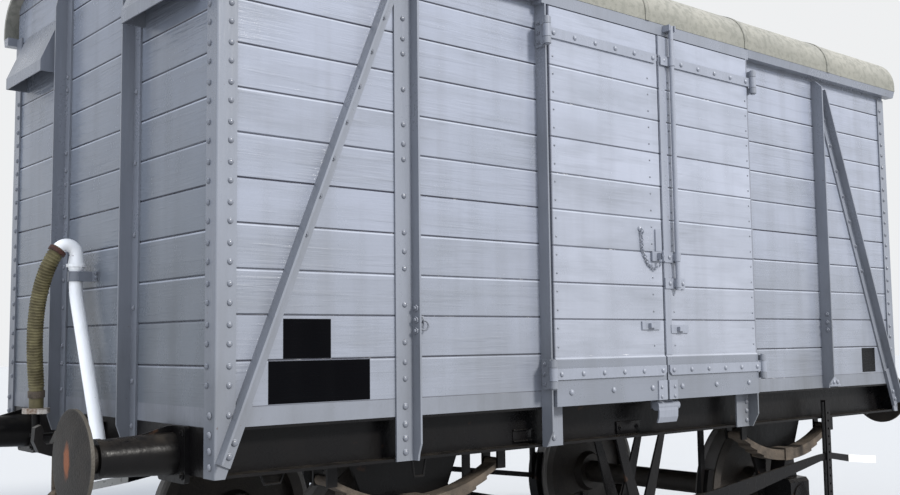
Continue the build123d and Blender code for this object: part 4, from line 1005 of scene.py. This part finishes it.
meshes = [placed(rivet, (-0.187, LEAF_FACE, 2.098), OUTWARD, 0.017),
          placed(ring, (-0.187, -1.302, 2.086), (1, 0, 0.2), 0.014),
          placed(nut, (-0.053, -1.338, 1.954), OUTWARD, 0.010),
          plate((-0.058, -1.345, 1.925), (-0.048, -1.329, 1.983), 0.003)]
step = 0
for start, end in zip(CHAIN_TURNS, CHAIN_TURNS[1:]):
    count = max(1, round((end - start).length / LINK_PITCH))
    lengthwise = (end - start).normalized().to_track_quat("Y", "Z").to_matrix().to_4x4()
    for number in range(count):
        mesh = link.copy()
        middle = Matrix.Translation(start.lerp(end, (number + 0.5) / count))
        roll = Matrix.Rotation(radians(35 if step % 2 else -55), 4, "Y")      # each link is across the last
        mesh.transform(middle @ lengthwise @ roll @ Matrix.Scale(LINK_SIZE, 4))
        meshes.append(mesh)
        step += 1
both_sides("door_pin_chain", meshes, "near_left_door", "far_left_door", leaf_iron)

# %% Rings that hold the doors back
RING_PLACES = (-1.640, 1.784)    # X of the rings, one on each side of the doorway
WALL_PLATE = (-1.2175, -1.2125)  # outer and inner face of a plate on the planks

meshes = []
for x in RING_PLACES:
    meshes.append(plate((x - 0.016, WALL_PLATE[0], 1.575), (x + 0.016, WALL_PLATE[1], 1.622), 0.0015))
    meshes.append(placed(ring, (x, -1.223, 1.602), (1, 0, 0), 0.012))
    meshes.append(placed(ring, (x + 0.003, -1.231, 1.579), (-0.5, -1, 0.25), 0.022))
both_sides("hold_back_rings", meshes, "body", "body", steel_paint)

# %% Gusset at the foot of the plain stanchion
GUSSET_CORNERS = [(1.729, 1.330), (1.905, 1.186), (1.729, 1.186)]
GUSSET_THICK = 0.012

bpy.ops.object.select_all(action="DESELECT")
bpy.ops.mesh.primitive_cylinder_add(vertices=3, radius=1, depth=0.010, location=(0, 0, 0))
for vertex in bpy.context.object.data.vertices:
    x, level = GUSSET_CORNERS[vertex.index // 2]
    vertex.co = (x, -SIDE_FACE - (GUSSET_THICK if vertex.co.z > 0 else 0.0), level)
edit_all()
bpy.ops.mesh.normals_make_consistent(inside=False)
bpy.ops.mesh.bevel(offset=0.002, segments=2)
meshes = [pattern("gusset")]
meshes += [placed(rivet, (x, -SIDE_FACE - GUSSET_THICK, 1.212), OUTWARD, FOOT_RIVET)
           for x in (1.770, 1.812, 1.856)]
both_sides("stanchion_gusset", meshes, "body", "body", leaf_iron)

# %% Card holder and cover plate on the solebar
SOLEBAR_FACE = -1.120

meshes = [plate((-0.995, SOLEBAR_FACE - 0.004, 1.010), (-0.870, SOLEBAR_FACE + 0.001, 1.066)),
          plate((-0.995, SOLEBAR_FACE - 0.014, 1.007), (-0.870, SOLEBAR_FACE, 1.014)),
          plate((-0.995, SOLEBAR_FACE - 0.014, 1.062), (-0.870, SOLEBAR_FACE, 1.068)),
          plate((-0.229, SOLEBAR_FACE - 0.010, 1.000), (-0.040, SOLEBAR_FACE + 0.001, 1.064))]
meshes += [placed(nut, (x, SOLEBAR_FACE - 0.010, 1.032), OUTWARD, 0.014) for x in (-0.205, -0.064)]
both_sides("solebar_plates", meshes, "body", "body", black_paint)

# %% Bolts of the pipe clip
CLIP_FACE = 2.675
CLIP_EAR_Y = 0.036

places = [((way * CLIP_FACE, way * CLIP_EAR_Y, level), (way, 0, 0), FOOT_BOLT)
          for way in (-1, 1) for level in (1.824, 1.848)]
scatter("clip_bolts", nut, places)

# %% Joints of the roof sheet
ROOF_JOINTS = [-1.948, -1.007, -0.066, 0.875, 1.816]
JOINT_HALF_WIDTH = 0.016
JOINT_THICK = 0.005


def is_inner(face):
    """Whether a face is on the underside of the roof or on an end of it."""
    outward = face.normal.z * 2.5 + face.normal.y * face.calc_center_median().y
    return outward < 0.35 or abs(face.normal.x) > 0.5


def roof_joint(x):
    """A strip of the roof's own surface, cut from a merged copy of it, to be thickened."""
    cut = bmesh.new()
    cut.from_mesh(nodes["roof"].data)
    bmesh.ops.remove_doubles(cut, verts=cut.verts, dist=0.00005)
    for way in (-1, 1):
        everything = cut.verts[:] + cut.edges[:] + cut.faces[:]
        bmesh.ops.bisect_plane(cut, geom=everything, plane_co=(x + way * JOINT_HALF_WIDTH, 0, 0),
                               plane_no=(way, 0, 0), clear_outer=True)
    cut.normal_update()
    bmesh.ops.delete(cut, geom=[face for face in cut.faces if is_inner(face)], context="FACES")
    mesh = bpy.data.meshes.new("roof_joint")
    cut.to_mesh(mesh)
    cut.free()
    return mesh


roof_joints = join_as("roof_joints", [roof_joint(x) for x in ROOF_JOINTS], "body", roof_sheet)
thicken = roof_joints.modifiers.new("thicken", "SOLIDIFY")
thicken.thickness = JOINT_THICK
thicken.offset = 1
bpy.ops.object.modifier_apply(modifier=thicken.name)
print("roof joints", len(roof_joints.data.polygons), "faces")
